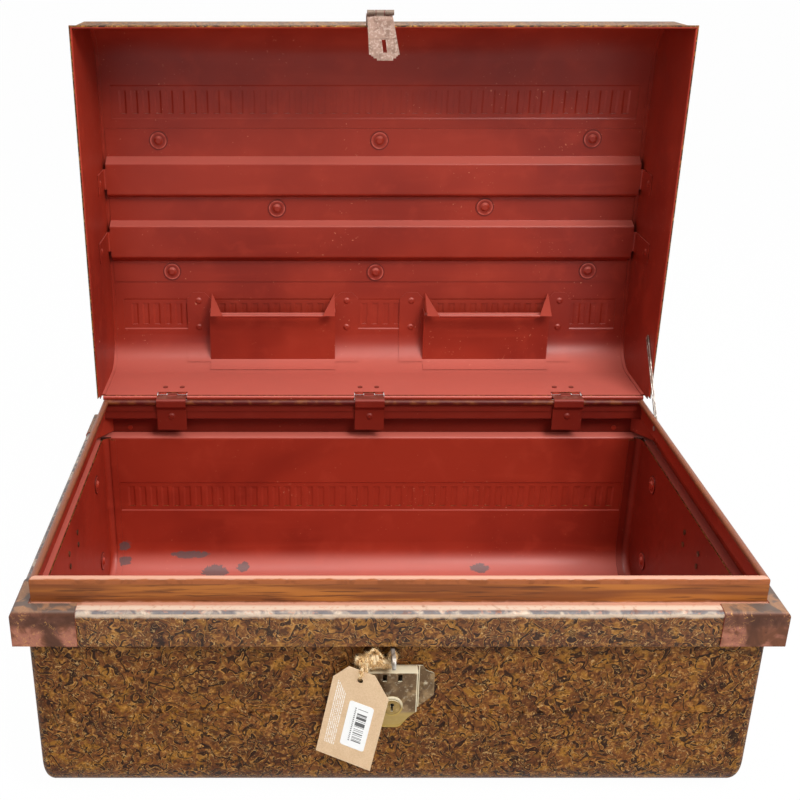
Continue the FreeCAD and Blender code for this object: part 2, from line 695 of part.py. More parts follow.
# ---------------------------------------------------------------- hinges
def hinge_parts(x):
    half = s.hinge_width / 2
    bead_y = HALF_Y - s.bead_radius
    seat_z = s.rim_top + s.fit
    inner = bead_y - s.bead_radius - s.fit - s.strap_sheet
    low = HALF_Y - 2 * s.thin_sheet - 2 * s.fit - s.strap_sheet
    points = [(HINGE.y, HINGE.z + s.knuckle_radius - 0.2), (inner, seat_z + s.strap_sheet + 0.3),
              (inner, HINGE.z - 6), (low, HINGE.z - 11), (low, s.strap_foot)]
    strap = strip(points, [0, 3, 1.5, 1.5, 0], s.strap_sheet, in_yz(x - half))
    strap = strap.extrude(ALONG * s.hinge_width)
    knuckle = Part.makeCylinder(s.knuckle_radius, s.hinge_width, Vector(x - half, HINGE.y, HINGE.z), ALONG)
    body = fused(strap, knuckle)
    gap = s.hinge_eye / 2 + s.fit
    body = body.cut(block(x - gap, x + gap, HINGE.y - 4.6, HINGE.y + 4, HINGE.z - 6, HINGE.z + 8))
    bore = Part.makeCylinder(s.hinge_pin + s.pin_gap, s.hinge_width + 2,
                             Vector(x - half - 1, HINGE.y, HINGE.z), ALONG)
    body = body.cut(bore)
    for seat, out, grip in strap_rivets():
        if abs(seat.x - x) < half:
            body = bored(body, seat, out, grip)
    # The lid leaf stands on the back of the closed lid, its knuckle between the other two.
    face = HALF_Y + s.lid_back_out + s.thin_sheet + s.fit
    eye = s.hinge_eye / 2
    neck = block(x - eye, x + eye, face, face + s.sheet, HINGE.z, HINGE.z + 9)
    plate = block(x - half, x + half, face, face + s.sheet, HINGE.z + 6.5, HINGE.z + s.leaf_height)
    roll = Part.makeCylinder(s.knuckle_radius, s.hinge_eye, Vector(x - eye, HINGE.y, HINGE.z), ALONG)
    leaf = fused(neck, plate, roll).cut(bore)
    for seat, out, grip in leaf_rivets():
        if abs(seat.x - x) < half:
            leaf = bored(leaf, seat, out, grip)
    return body, leaf


def leaf_rivets():
    face = HALF_Y + s.lid_back_out + s.thin_sheet + s.fit + s.sheet
    grip = s.sheet + s.fit + s.thin_sheet + s.close_fit
    return [(Vector(x + step, face, HINGE.z + 22), DEPTH, grip)
            for x in hinge_centres() for step in (-11, 11)]


LID_POSE = Placement(Vector(0, 0, 0), Rotation(ALONG, -s.lid_open), HINGE)
for name, x in zip(("left", "middle", "right"), hinge_centres()):
    strap, leaf = hinge_parts(x)
    add("hinge_strap_" + name, strap)
    add("hinge_leaf_" + name, leaf, LID_POSE)
add("hinge_pins", Part.makeCompound([
    rod(Vector(x - s.hinge_width / 2, HINGE.y, HINGE.z), Vector(x + s.hinge_width / 2, HINGE.y, HINGE.z),
        s.hinge_pin) for x in hinge_centres()]))
add("hinge_rivets_body", Part.makeCompound([rivet(*spot) for spot in strap_rivets()]))
add("hinge_rivets_lid", Part.makeCompound([rivet(*spot) for spot in leaf_rivets()]), LID_POSE)


# ---------------------------------------------------------------- lid, drawn closed
LID_FRONT = -(HALF_Y + s.lid_out + s.thin_sheet)
LID_BACK = HALF_Y + s.lid_back_out + s.thin_sheet
LID_SPLIT = s.lid_foot + 2 * s.roll_radius + 1.2
DOME = [(LID_FRONT, s.crown - s.front_corner_drop), (-s.crown_front, s.crown), (s.crown_back, s.crown),
        (LID_BACK, s.crown - s.back_corner_drop)]
DOME_RADII = [s.front_fillet, s.crown_fillet, s.crown_fillet, s.back_fillet]


def dome_core(inset, x0, x1, foot):
    # The space under the dome, its outer face moved in by "inset".
    points = [(LID_FRONT, foot)] + DOME + [(LID_BACK, foot)]
    face = region(points, [0] + DOME_RADII + [0], in_yz(x0), -inset)
    solid = face.extrude(ALONG * (x1 - x0))
    return solid


def lid_hem(side):
    # Short upright with the rolled edge, mitred at the front corners.
    place = SIDES[side][0]
    centre = (s.lid_out + s.roll_radius, s.lid_foot + s.roll_radius)
    wall = strip([(s.lid_out, LID_SPLIT), (s.lid_out, centre[1])], [0, 0], s.thin_sheet, place)
    normal = (place(1, 0) - place(0, 0)).cross(UP)
    ring = Part.Face(Part.Wire(Part.makeCircle(s.roll_radius, place(*centre), normal)))
    hole = Part.Face(Part.Wire(Part.makeCircle(s.roll_bore, place(*centre), normal)))
    wall, ring, hole = [full_side(face, side, s.mitre_gap) for face in (wall, ring, hole)]
    hem = fused(wall, ring).cut(hole)
    if side in ("left", "right"):
        hem = hem.common(block(-HALF_X * 2, HALF_X * 2, -HALF_Y * 2, LID_BACK - s.thin_sheet, 0, 400))
    return hem


def slope(p, q):
    run = Vector(0, q[0] - p[0], q[1] - p[1]).normalize()
    return run, Vector(0, -run.z, run.y)


def on_slope(p, q, y):
    return Vector(0, y, p[1] + (q[1] - p[1]) * (y - p[0]) / (q[0] - p[0]))


def lid_wrap():
    points = [(LID_FRONT, LID_SPLIT)] + DOME + [(LID_BACK, s.lid_back_foot)]
    stop = HALF_X + s.lid_out + s.thin_sheet + s.lid_wrap_over
    wrap = strip(points, [0] + DOME_RADII + [0], -s.thin_sheet, in_yz(-stop)).extrude(ALONG * 2 * stop)
    inset = (s.band_width - s.flute_length) / 2
    run, out = slope(DOME[0], DOME[1])
    base = on_slope(DOME[0], DOME[1], -s.lid_front_band) - run * s.band_width
    wrap = pressed_band(wrap, base, run, out, s.band_width, inset, s.thin_sheet)
    run, out = slope(DOME[2], DOME[3])
    base = on_slope(DOME[2], DOME[3], s.lid_back_band)
    wrap = pressed_band(wrap, base, run, out, s.band_width, inset, s.thin_sheet)
    wrap = fused(wrap, lid_hem("front"))
    notch = s.hinge_width / 2 + 0.5
    for x in hinge_centres():
        wrap = wrap.cut(block(x - notch, x + notch, LID_BACK - 5, LID_BACK + 5, 0, HINGE.z + 6))
    for seat, out, grip in leaf_rivets() + pocket_rivets() + stiffener_rivets() + hasp_rivets():
        if abs(out.x) < 0.5:
            shank = s.shank_radius * 1.5 if (seat, out, grip) in stiffener_rivets() else None
            wrap = bored(wrap, seat, out, grip, shank)
    return wrap


def lid_end():
    inner = HALF_X + s.lid_out
    outer = inner + s.thin_sheet
    inset = s.thin_sheet + s.close_fit
    plate = dome_core(inset, inner, outer, LID_SPLIT - inset)
    plate = plate.common(block(0, outer + 1, LID_FRONT, LID_BACK, LID_SPLIT, s.crown + 9))
    core = dome_core(inset, inner - s.lid_flange, inner, LID_SPLIT)
    flange = core.cut(dome_core(inset + s.thin_sheet, inner - s.lid_flange - 1, inner + 1, 0))
    flange = flange.cut(block(0, inner, 0, LID_BACK, 0, s.lid_back_foot))
    end = fused(plate, flange, lid_hem("right"))
    seat, out, grip = stay_lid_rivet()
    end = bored(end, seat, out, grip)
    for seat, out, grip in tab_rivets(1):
        end = bored(end, seat, out, grip)
    return end


def stay_lid_rivet():
    spot = stay_point(s.stay_lid_angle)
    inner = HALF_X + s.fit + 0.1 - s.fit
    return (Vector(inner, spot.y, spot.z), Vector(-1, 0, 0),
            HALF_X + s.lid_out + s.thin_sheet - inner + s.close_fit)


# ---------------------------------------------------------------- stiffener inside the dome
STIFFENER_Y = [-90, -54, -46, -7, -2, 31, 36, 77, 85, 114]


def under_dome(y, gap):
    # Height of the dome's inner face, less a gap, away from its two shoulders.
    if y < -s.crown_front:
        z = on_slope(DOME[0], DOME[1], y).z
    elif y > s.crown_back:
        z = on_slope(DOME[2], DOME[3], y).z
    else:
        z = s.crown
    return z - s.thin_sheet - gap


def lid_stiffener():
    y = STIFFENER_Y
    flat = under_dome(0, s.fit)
    low = flat - s.ridge_height
    points = [(y[0], flat), (y[1], flat), (y[2], low), (y[3], low), (y[4], flat), (y[5], flat),
              (y[6], low), (y[7], low), (y[8], flat), (y[9], under_dome(y[9], s.fit))]
    section = strip(points, [0, 2, 2, 2, 2, 2, 2, 2, 2, 0], -s.thin_sheet, in_yz(-STIFFENER_HALF))
    panel = section.extrude(ALONG * 2 * STIFFENER_HALF)
    for seat, out, grip in stiffener_rivets():
        panel = bored(panel, seat, out, grip, s.shank_radius * 1.5)
    tabs = []
    reach = HALF_X + s.lid_out - s.fit
    for (centre, foot) in tab_spots():
        for sign in (-1, 1):
            points = [(STIFFENER_HALF - 12, low), (reach, low), (reach, foot)]
            place = lambda x, z: Vector(sign * x, centre - s.tab_width / 2, z)
            tab = strip(points, [0, 3, 0], -s.thin_sheet, place).extrude(DEPTH * s.tab_width)
            tabs.append(tab)
    panel = fused(panel, *tabs)
    for sign in (-1, 1):
        for seat, out, grip in tab_rivets(sign):
            panel = bored(panel, seat, out, grip)
    return panel


def tab_spots():
    return [(s.front_tab, s.crown - s.front_tab_drop), (s.back_tab, s.crown - s.back_tab_drop)]


def tab_rivets(sign):
    seat = HALF_X + s.lid_out - s.fit - s.thin_sheet
    grip = 2 * s.thin_sheet + s.fit + s.close_fit
    return [(Vector(sign * seat, centre, foot + s.tab_rivet), Vector(-sign, 0, 0), grip)
            for centre, foot in tab_spots()]


def stiffener_rivets():
    # Heads and washers on the inside, flat tails on the outside of the dome.
    spots = []
    end = STIFFENER_HALF
    for x, y in ((69 - end, -75), (8, -75), (end - 64, -77), (-126, 14), (150, 12), (79 - end, 100), (7, 101),
                 (end - 53, 99)):
        down = slope(DOME[2], DOME[3])[1] * -1 if y > s.crown_back else Vector(0, 0, -1)
        z = under_dome(y, s.fit)
        depth = s.thin_sheet + s.washer_thick + s.close_fit
        seat = Vector(x, y, z) + down * depth
        spots.append((seat, down, depth + s.fit + s.thin_sheet + s.close_fit))
    return spots


# ---------------------------------------------------------------- pockets inside the lid
def pocket(centre):
    half = s.pocket_length / 2
    seat = s.thin_sheet + s.fit
    t = s.pocket_sheet
    foot, roof = s.crown - s.pocket_reach, s.crown + s.pocket_depth
    face_z = under_dome(150, 0) - s.pocket_depth
    left, right = centre - half, centre + half
    far_left, far_right = left - s.pocket_flange, right + s.pocket_flange
    under = dome_core(seat, far_left, far_right, foot)
    deeper = dome_core(seat + t, far_left - 1, far_right + 1, foot - 10)
    skin = under.cut(deeper)
    # Side flanges on the dome, each with a chamfered ear above the mouth.
    wings = skin.common(block(far_left, far_right, s.pocket_ear, s.pocket_floor, foot, roof))
    wings = wings.cut(block(left + t, right - t, 0, LID_BACK, foot, roof))
    for tip, sign in ((far_left, 1), (far_right, -1), (left + t, -1), (right - t, 1)):
        cut = s.pocket_chamfer
        ring = [Vector(tip, s.pocket_ear, foot), Vector(tip + sign * cut, s.pocket_ear, foot),
                Vector(tip, s.pocket_ear + cut, foot)]
        wings = wings.cut(Part.Face(Part.makePolygon(ring + ring[:1])).extrude(UP * (roof - foot)))
    # Side walls from the dome down to the face.
    cheeks = under.common(block(left, left + t, s.pocket_mouth - 5, s.pocket_floor, face_z, roof).fuse(
        block(right - t, right, s.pocket_mouth - 5, s.pocket_floor, face_z, roof)))
    face = under.common(block(left, right, s.pocket_mouth, LID_BACK, face_z, face_z + t))
    flap = skin.common(block(left, right, s.pocket_floor - 4, s.pocket_floor + 6, foot, roof))
    bead_y = s.pocket_mouth
    bead_z = face_z + s.pocket_bead
    bead = Part.makeCylinder(s.pocket_bead, s.pocket_length - 2 * t, Vector(left + t, bead_y, bead_z), ALONG)
    hole = Part.makeCylinder(s.pocket_bead - t, s.pocket_length - 2 * t,
                             Vector(left + t, bead_y, bead_z), ALONG)
    face = face.cut(Part.makeCylinder(s.pocket_bead - t, s.pocket_length, Vector(left, bead_y, bead_z), ALONG))
    shape = fused(wings, cheeks, face, flap, bead.cut(hole))
    for seat, out, grip in pocket_rivets():
        shape = bored(shape, seat, out, grip)
    return shape


def pocket_rivets():
    spots = []
    run, out = slope(DOME[2], DOME[3])
    for centre in (s.left_pocket, s.right_pocket):
        for sign in (-1, 1):
            x = centre + sign * (s.pocket_length / 2 + s.pocket_flange / 2)
            for y in (s.pocket_ear + s.pocket_rivet_top, s.pocket_ear + s.pocket_rivet_low):
                top = on_slope(DOME[2], DOME[3], y) + Vector(x, 0, 0)
                depth = s.thin_sheet + s.fit + s.pocket_sheet
                spots.append((top - out * depth, out * -1, depth + s.band_raise + s.close_fit))
    return spots


HASP_PIN = Vector(s.hasp_x, -(HALF_Y + s.hasp_y), s.hasp_z)


def hasp_rivets():
    seat_y = LID_FRONT - s.fit - s.sheet
    grip = s.sheet + s.fit + s.thin_sheet + s.close_fit
    return [(Vector(s.hasp_x + step, seat_y, 250), Vector(0, -1, 0), grip) for step in (-9, 9)]


lid_right = lid_end()
add("lid_wrap", lid_wrap(), LID_POSE)
add("lid_end_right", lid_right, LID_POSE)
add("lid_end_left", mirrored(lid_right), LID_POSE)
add("lid_stiffener", lid_stiffener(), LID_POSE)
add("stiffener_washers", washers([(seat - out * s.washer_thick, out)
                                  for seat, out, grip in stiffener_rivets()]), LID_POSE)
add("stiffener_rivets", Part.makeCompound([
    rivet(seat, out, grip, head=s.big_head, head_height=2.2, shank=s.shank_radius * 1.5,
          tail=s.big_head * 0.8) for seat, out, grip in stiffener_rivets()]), LID_POSE)
add("tab_rivets", Part.makeCompound([rivet(*spot) for spot in tab_rivets(1) + tab_rivets(-1)]), LID_POSE)
add("lid_rim_wire", frame_wire(s.roll_wire, HALF_X + s.lid_out + s.roll_radius,
                               HALF_Y + s.lid_out + s.roll_radius, s.lid_foot + s.roll_radius,
                               closed=False).common(block(-500, 500, -500, LID_BACK - 2, 0, 400)), LID_POSE)
add("pocket_left", pocket(s.left_pocket), LID_POSE)
add("pocket_right", pocket(s.right_pocket), LID_POSE)
add("pocket_rivets", Part.makeCompound([rivet(*spot) for spot in pocket_rivets()]), LID_POSE)


# ---------------------------------------------------------------- hasp on the lid front
def hasp_plate():
    half = s.hasp_width / 2
    back = LID_FRONT - s.fit
    step_z = LID_SPLIT + 1.2
    tangent = HASP_PIN.y + s.hasp_knuckle
    points = [(back, 262), (back, step_z), (tangent, step_z), (tangent, s.hasp_z)]
    plate = strip(points, [0, 1.5, 1.5, 0], -s.sheet, in_yz(s.hasp_x - half))
    plate = plate.extrude(ALONG * s.hasp_width)
    start = HASP_PIN - ALONG * half
    plate = plate.fuse(Part.makeCylinder(s.hasp_knuckle, s.hasp_width, start, ALONG))
    gap = s.hasp_eye / 2 + s.fit
    free = s.hasp_knuckle + 1.2
    plate = plate.cut(block(s.hasp_x - gap, s.hasp_x + gap, HASP_PIN.y - free, HASP_PIN.y + free,
                            s.hasp_z - free, s.hasp_z + free))
    plate = plate.cut(Part.makeCylinder(s.hasp_pin_radius + s.pin_gap, s.hasp_width + 2,
                                        start - ALONG, ALONG))
    plate = fused(plate)
    for spot in hasp_rivets():
        plate = bored(plate, *spot)
    return plate


def axes():
    # Names of the three directions of a bound placement.
    return (".Placement.Base.x", ".Placement.Base.y", ".Placement.Base.z")


def bound(kind, name, sizes, at, turn=None):
    # A primitive whose sizes and place are bound to the sheet.
    item = doc.addObject("Part::" + kind, name)
    if turn:
        item.Placement = Placement(Vector(0, 0, 0), turn)
    for prop, text in sizes.items():
        item.setExpression(prop, text)
    for prop, text in zip(axes(), at):
        item.setExpression(prop, text)
    return item


def joined(name, items):
    whole = doc.addObject("Part::MultiFuse", name)
    whole.Shapes = items
    whole.Refine = True
    return whole


def cut_away(name, base, tool):
    rest = doc.addObject("Part::Cut", name)
    rest.Base = base
    rest.Tool = tool
    return rest


def keep(item, label, placement=None):
    item.Label = label
    if placement:
        item.Placement = placement
    nodes.append(item)
    return item


def profile(body, role, name, rings):
    # A closed sketch whose corners are bound to the sheet. Corners lie right of and above the origin.
    sketch = body.newObject("Sketcher::SketchObject", name)
    plane = [item for item in body.Origin.OriginFeatures if item.Role == role][0]
    sketch.AttachmentSupport = [(plane, "")]
    sketch.MapMode = "FlatFace"
    first = 0
    for corners in rings:
        spots = [Vector(*[float(sheet.evalExpression(text)) for text in pair]) for pair in corners]
        count = len(spots)
        for i in range(count):
            sketch.addGeometry(Part.LineSegment(spots[i], spots[(i + 1) % count]), False)
        for i in range(count):
            after = first + (i + 1) % count
            sketch.addConstraint(Sketcher.Constraint("Coincident", first + i, 2, after, 1))
        for i, (spot, pair) in enumerate(zip(spots, corners)):
            for kind, value, text, axis in (("DistanceX", spot.x, pair[0], -2),
                                            ("DistanceY", spot.y, pair[1], -1)):
                if abs(value) < 1e-9:
                    sketch.addConstraint(Sketcher.Constraint("PointOnObject", first + i, 1, axis))
                    continue
                number = sketch.addConstraint(Sketcher.Constraint(kind, -1, 1, first + i, 1, value))
                sketch.setExpression("Constraints[%d]" % number, text)
        first += count
    return sketch


def padded(label, rings, length):
    body = doc.addObject("PartDesign::Body", label)
    sketch = profile(body, "XY_Plane", label + "_outline", rings)
    pad = body.newObject("PartDesign::Pad", label + "_pad")
    pad.Profile = sketch
    pad.setExpression("Length", length)
    body.Tip = pad
    return body


TURN_X = Rotation(Vector(0, 1, 0), 90)
TURN_Y = Rotation(Vector(1, 0, 0), 90)


def hasp_leaf():
    # Drawn lying flat: X across, Y from the foot of the leaf up to the pin, Z out.
    wide, top, foot = "hasp_wide", "hasp_narrow", "hasp_foot"
    length = "Sizes.hasp_length"
    pick = lambda name: "Sizes." + name
    left = lambda name: "(%s - %s) / 2" % (pick(wide), pick(name))
    right = lambda name: "(%s + %s) / 2" % (pick(wide), pick(name))
    slot_foot = length + " - Sizes.hasp_slot_top - Sizes.hasp_slot_length"
    slot_top = length + " - Sizes.hasp_slot_top"
    outer = [(left(foot), "0"), (right(foot), "0"), (pick(wide), "Sizes.hasp_taper"),
             (pick(wide), "Sizes.hasp_step"), (right(top), "Sizes.hasp_step + 1.5"),
             (right(top), length + " - 5"), (right("hasp_eye"), length + " - 5"),
             (right("hasp_eye"), length), (left("hasp_eye"), length),
             (left("hasp_eye"), length + " - 5"), (left(top), length + " - 5"),
             (left(top), "Sizes.hasp_step + 1.5"), ("0", "Sizes.hasp_step"), ("0", "Sizes.hasp_taper")]
    slot = [(left("hasp_slot_width"), slot_foot), (left("hasp_slot_width"), slot_top),
            (right("hasp_slot_width"), slot_top), (right("hasp_slot_width"), slot_foot)]
    body = padded("hasp_leaf", [outer, slot], "Sizes.sheet")
    roll = body.newObject("PartDesign::AdditiveCylinder", "hasp_leaf_knuckle")
    bore = body.newObject("PartDesign::SubtractiveCylinder", "hasp_leaf_bore")
    for item, radius in ((roll, "Sizes.hasp_knuckle"), (bore, "Sizes.hasp_pin_radius + Sizes.pin_gap")):
        item.Placement = Placement(Vector(0, 0, 0), TURN_X)
        item.setExpression("Radius", radius)
        item.setExpression("Height", "Sizes.hasp_eye")
        for prop, text in zip(axes(), (left("hasp_eye"), length, "Sizes.sheet - Sizes.hasp_knuckle")):
            item.setExpression(prop, text)
    body.Tip = bore
    corner = Vector(s.hasp_wide / 2, s.hasp_length, s.sheet - s.hasp_knuckle)
    pin = LID_POSE.multVec(HASP_PIN)
    body.Placement = Placement(pin - TURN_Y.multVec(corner), TURN_Y)
    nodes.append(body)


add("hasp_plate", hasp_plate(), LID_POSE)
add("hasp_rivets", Part.makeCompound([rivet(*spot) for spot in hasp_rivets()]), LID_POSE)
hasp_pin = bound("Cylinder", "hasp_pin", {"Radius": "Sizes.hasp_pin_radius", "Height": "Sizes.hasp_width"},
                 ("Sizes.hasp_x - Sizes.hasp_width / 2", "%.6f" % LID_POSE.multVec(HASP_PIN).y,
                  "%.6f" % LID_POSE.multVec(HASP_PIN).z), TURN_X)
keep(hasp_pin, "hasp_pin")
hasp_leaf()


# ---------------------------------------------------------------- staple and lock on the front
def front_y(out):
    return "-(Sizes.neck_width / 2 + %s)" % out


staple_plate = bound("Box", "staple_plate", {"Length": "Sizes.staple_thick", "Height": "Sizes.staple_height",
                     "Width": "Sizes.staple_out - Sizes.staple_height / 2 - Sizes.wall_out - 0.1"},
                     ("Sizes.hasp_x - Sizes.staple_thick / 2",
                      front_y("Sizes.staple_out - Sizes.staple_height / 2"),
                      "Sizes.staple_z - Sizes.staple_height / 2"))
staple_round = bound("Cylinder", "staple_round", {"Radius": "Sizes.staple_height / 2",
                     "Height": "Sizes.staple_thick"},
                     ("Sizes.hasp_x - Sizes.staple_thick / 2",
                      front_y("Sizes.staple_out - Sizes.staple_height / 2"), "Sizes.staple_z"), TURN_X)
staple_tang = bound("Box", "staple_tang", {"Length": "Sizes.staple_thick", "Height": "Sizes.staple_tang",
                    "Width": "Sizes.sheet + 1"},
                    ("Sizes.hasp_x - Sizes.staple_thick / 2", front_y("Sizes.wall_out + 0.3"),
                     "Sizes.staple_z - Sizes.staple_tang / 2"))
staple_clench = bound("Box", "staple_clench", {"Length": "Sizes.staple_clench", "Width": "Sizes.sheet",
                      "Height": "Sizes.staple_tang"},
                      ("Sizes.hasp_x - Sizes.staple_clench / 2",
                       front_y("Sizes.wall_out - Sizes.sheet - Sizes.close_fit"),
                       "Sizes.staple_z - Sizes.staple_tang / 2"))
staple_eye = bound("Cylinder", "staple_eye", {"Radius": "Sizes.staple_eye", "Height": "Sizes.staple_thick"},
                   ("Sizes.hasp_x - Sizes.staple_thick / 2",
                    front_y("Sizes.staple_out - Sizes.staple_height / 2"), "Sizes.staple_z"), TURN_X)
staple_body = joined("staple_body", [staple_plate, staple_round, staple_tang, staple_clench])
keep(cut_away("staple", staple_body, staple_eye), "staple")


def front_outline(points, radii, out, thick, inset=0):
    # A symmetrical outline on the front, drawn about the lock's middle line, right half given.
    ring = [(s.hasp_x - x, z) for x, z in points]
    ring += [(s.hasp_x + x, z) for x, z in reversed(points)]
    rounds = list(radii) + list(reversed(radii))
    face = region(ring, rounds, in_xz(-(HALF_Y + out)), inset)
    return face.extrude(Vector(0, -thick, 0))


def lock_plate():
    points = [(30, s.lock_top + 0.5), (33, s.lock_top - 5), (s.lock_half, s.lock_top - 8.5),
              (s.lock_half, s.lock_waist + 10), (s.case_half + 2, s.lock_waist - 4),
              (9, s.lock_tail)]
    plate = front_outline(points, [2, 5, 3, 4, 6, 8], s.lock_out, s.lock_sheet)
    for spot in lock_rivets():
        plate = bored(plate, *spot)
    return plate


def case_block(inset, rear):
    shape = [(s.case_half, s.lock_top), (s.case_half, s.lock_waist), (8, s.lock_tail + 3)]
    front = s.case_front - inset
    body = front_outline(shape, [0, 3, 7], rear, front - rear, inset)
    rise = (s.lock_waist - s.lock_tail - 3) / (s.case_front - s.lock_out - s.lock_sheet)
    foot = s.lock_tail + 3 + inset * math.hypot(1, rise)
    back = s.lock_out + s.lock_sheet
    side = [(-(HALF_Y + front + 1), 400), (-(HALF_Y + rear - 1), 400),
            (-(HALF_Y + rear - 1), foot - (back - rear + 1) * rise),
            (-(HALF_Y + front + 1), foot + (front + 1 - back) * rise)]
    wedge = region(side, [0, 0, 0, 0], in_yz(s.hasp_x - 60)).extrude(ALONG * 120)
    return body.common(wedge)


def lock_case():
    rear = s.lock_out + s.lock_sheet + s.bore_gap
    case = case_block(0, rear).cut(case_block(s.case_sheet, rear - 2))
    centre = Vector(s.hasp_x, -(HALF_Y + s.case_front - 5), s.plug_z)
    ring = Part.makeCylinder(s.bezel_radius, s.bezel_out - s.case_front + 5, centre, Vector(0, -1, 0))
    bore = Part.makeCylinder(s.plug_radius + s.pin_gap, 40, centre + DEPTH * 10, Vector(0, -1, 0))
    case = fused(case, ring).cut(bore)
    for step in (-s.lock_slot_offset, s.lock_slot_offset):
        x = s.hasp_x + step
        case = case.cut(block(x - s.lock_slot / 2, x + s.lock_slot / 2, -(HALF_Y + s.case_front + 1),
                              -(HALF_Y + s.case_front - 2), s.lock_top - 9.5, s.lock_top - 1.5))
    return fused(case)


def lock_plug():
    front = -(HALF_Y + s.plug_out)
    rear = -(HALF_Y + s.lock_out + s.lock_sheet + 6)
    plug = Part.makeCylinder(s.plug_radius, rear - front, Vector(s.hasp_x, front, s.plug_z), DEPTH)
    key = Part.makeCylinder(1.9, 5, Vector(s.hasp_x, front, s.plug_z + 2.6), DEPTH)
    ward = block(s.hasp_x - 1, s.hasp_x + 1, front, front + 5, s.plug_z - 4.6, s.plug_z + 2.6)
    crank = Part.makeCylinder(s.crank_pin, rear - s.crank_pin - (rear - 6.6), Vector(
        s.hasp_x - s.bolt_throw / 2, rear - 0.5, s.plug_z + s.bolt_throw / 2), DEPTH)
    return fused(plug.cut(key.fuse(ward)), crank)


def lock_bolt():
    near = -(HALF_Y + s.lock_out + s.lock_sheet + s.fit)
    far = near - s.bolt_thick
    centre = s.hasp_x - s.bolt_throw / 2
    bar = block(centre - 14, centre + 14, far, near, s.plug_z + 19.5, s.plug_z + 24.5)
    leg = block(centre - 4.5, centre + 4.5, far, near, s.plug_z - 2, s.plug_z + 20)
    gap = s.crank_pin + s.fit
    slot = block(centre - gap, centre + gap, far - 1, near + 1, s.plug_z + s.bolt_throw / 2 - gap,
                 s.plug_z + s.bolt_throw * 0.71 + gap)
    return fused(bar, leg).cut(slot)


add("lock_plate", lock_plate())
add("lock_case", lock_case())
add("lock_rivets", Part.makeCompound([rivet(*spot) for spot in lock_rivets()]))
add("lock_plug", lock_plug())
add("lock_bolt", lock_bolt())


# ---------------------------------------------------------------- handles on the ends
def handle_plate():
    near = HALF_X + s.end_out + s.fit
    half_y, half_z = s.handle_length / 2, s.handle_height / 2
    face = region([(-half_y, s.handle_z - half_z), (half_y, s.handle_z - half_z),
                   (half_y, s.handle_z + half_z), (-half_y, s.handle_z + half_z)],
                  [8, 8, 8, 8], in_yz(near))
    plate = face.extrude(ALONG * s.sheet)
    axis_x = HALF_X + s.handle_eye_out
    bore_radius = s.bail_radius + s.pin_gap
    eye_radius = bore_radius + s.sheet
    shapes = [plate]
    for sign in (-1, 1):
        y = sign * s.handle_eye_y - 6
        shapes.append(Part.makeCylinder(eye_radius, 12, Vector(axis_x, y, s.handle_eye_z), DEPTH))
        shapes.append(block(near, axis_x, y, y + 12, s.handle_eye_z + bore_radius,
                            s.handle_eye_z + eye_radius))
    plate = fused(*shapes)
    plate = plate.cut(Part.makeCylinder(bore_radius, s.handle_length + 20, Vector(
        axis_x, -s.handle_length / 2 - 10, s.handle_eye_z), DEPTH))
    for seat, out, grip, shank in handle_rivets(1):
        plate = bored(plate, seat, out, grip)
    return plate


def handle_bail():
    x = HALF_X + s.handle_eye_out
    end, arm = s.handle_eye_y - 7, s.bail_half
    top, low = s.handle_eye_z, s.handle_eye_z - s.bail_drop
    path = outline([(-end, top), (-arm, top), (-arm, low), (arm, low), (arm, top), (end, top)],
                   [0, 2.6, s.bail_bend, s.bail_bend, 2.6, 0])
    wire = Part.Wire(edges_of(path, in_yz(x)))
    ring = Part.Wire(Part.makeCircle(s.bail_radius, Vector(x, -end, top), DEPTH))
    return wire.makePipeShell([ring], True, False)


plate = handle_plate()
bail = handle_bail()
add("handle_plate_right", plate)
add("handle_plate_left", mirrored(plate))
add("handle_bail_right", bail)
add("handle_bail_left", mirrored(bail))
add("handle_rivets", Part.makeCompound([
    rivet(seat, out, grip, shank=shank) for sign in (-1, 1)
    for seat, out, grip, shank in handle_rivets(sign)]))


# ---------------------------------------------------------------- lid stay on the right
stay_heading = (s.stay_body_angle + s.stay_lid_angle - s.lid_open) / 2 - 90
stay_seat = stay_point(s.stay_body_angle) + ALONG * (HALF_X + s.fit + 0.1)
STAY_POSE = Placement(stay_seat, Rotation(ALONG, stay_heading).multiply(
    Rotation(Vector(0, 1, 0), Vector(0, 0, 1), Vector(1, 0, 0), "ZXY")))
swing_gap = math.radians(s.stay_body_angle - s.stay_lid_angle) / 2
swing_wide = math.radians(s.stay_body_angle - s.stay_lid_angle + s.lid_open) / 2
SLOT_NEAR = 2 * s.stay_swing * math.sin(swing_gap)
SLOT_FAR = 2 * s.stay_swing * math.sin(swing_wide)
arm_bar = bound("Box", "stay_bar", {"Length": "Sizes.stay_length", "Width": "2 * Sizes.stay_half",
                "Height": "Sizes.stay_thick"}, ("0", "-Sizes.stay_half", "0"))
arm_end = bound("Cylinder", "stay_end", {"Radius": "Sizes.stay_half", "Height": "Sizes.stay_thick"},
                ("0", "0", "0"))
arm_bore = bound("Cylinder", "stay_bore", {"Radius": "Sizes.stud_radius + Sizes.pin_gap",
                 "Height": "Sizes.stay_thick"}, ("0", "0", "0"))
slot_ends = [bound("Cylinder", "stay_slot_end", {"Radius": "Sizes.stud_radius + Sizes.stay_slack",
                   "Height": "Sizes.stay_thick"}, ("%.6f" % x, "0", "0")) for x in (SLOT_NEAR, SLOT_FAR)]
slot_bar = bound("Box", "stay_slot", {"Length": "%.6f" % (SLOT_FAR - SLOT_NEAR),
                 "Width": "2 * (Sizes.stud_radius + Sizes.stay_slack)", "Height": "Sizes.stay_thick"},
                 ("%.6f" % SLOT_NEAR, "-(Sizes.stud_radius + Sizes.stay_slack)", "0"))
stay_bars = joined("stay_bars", [arm_bar, arm_end])
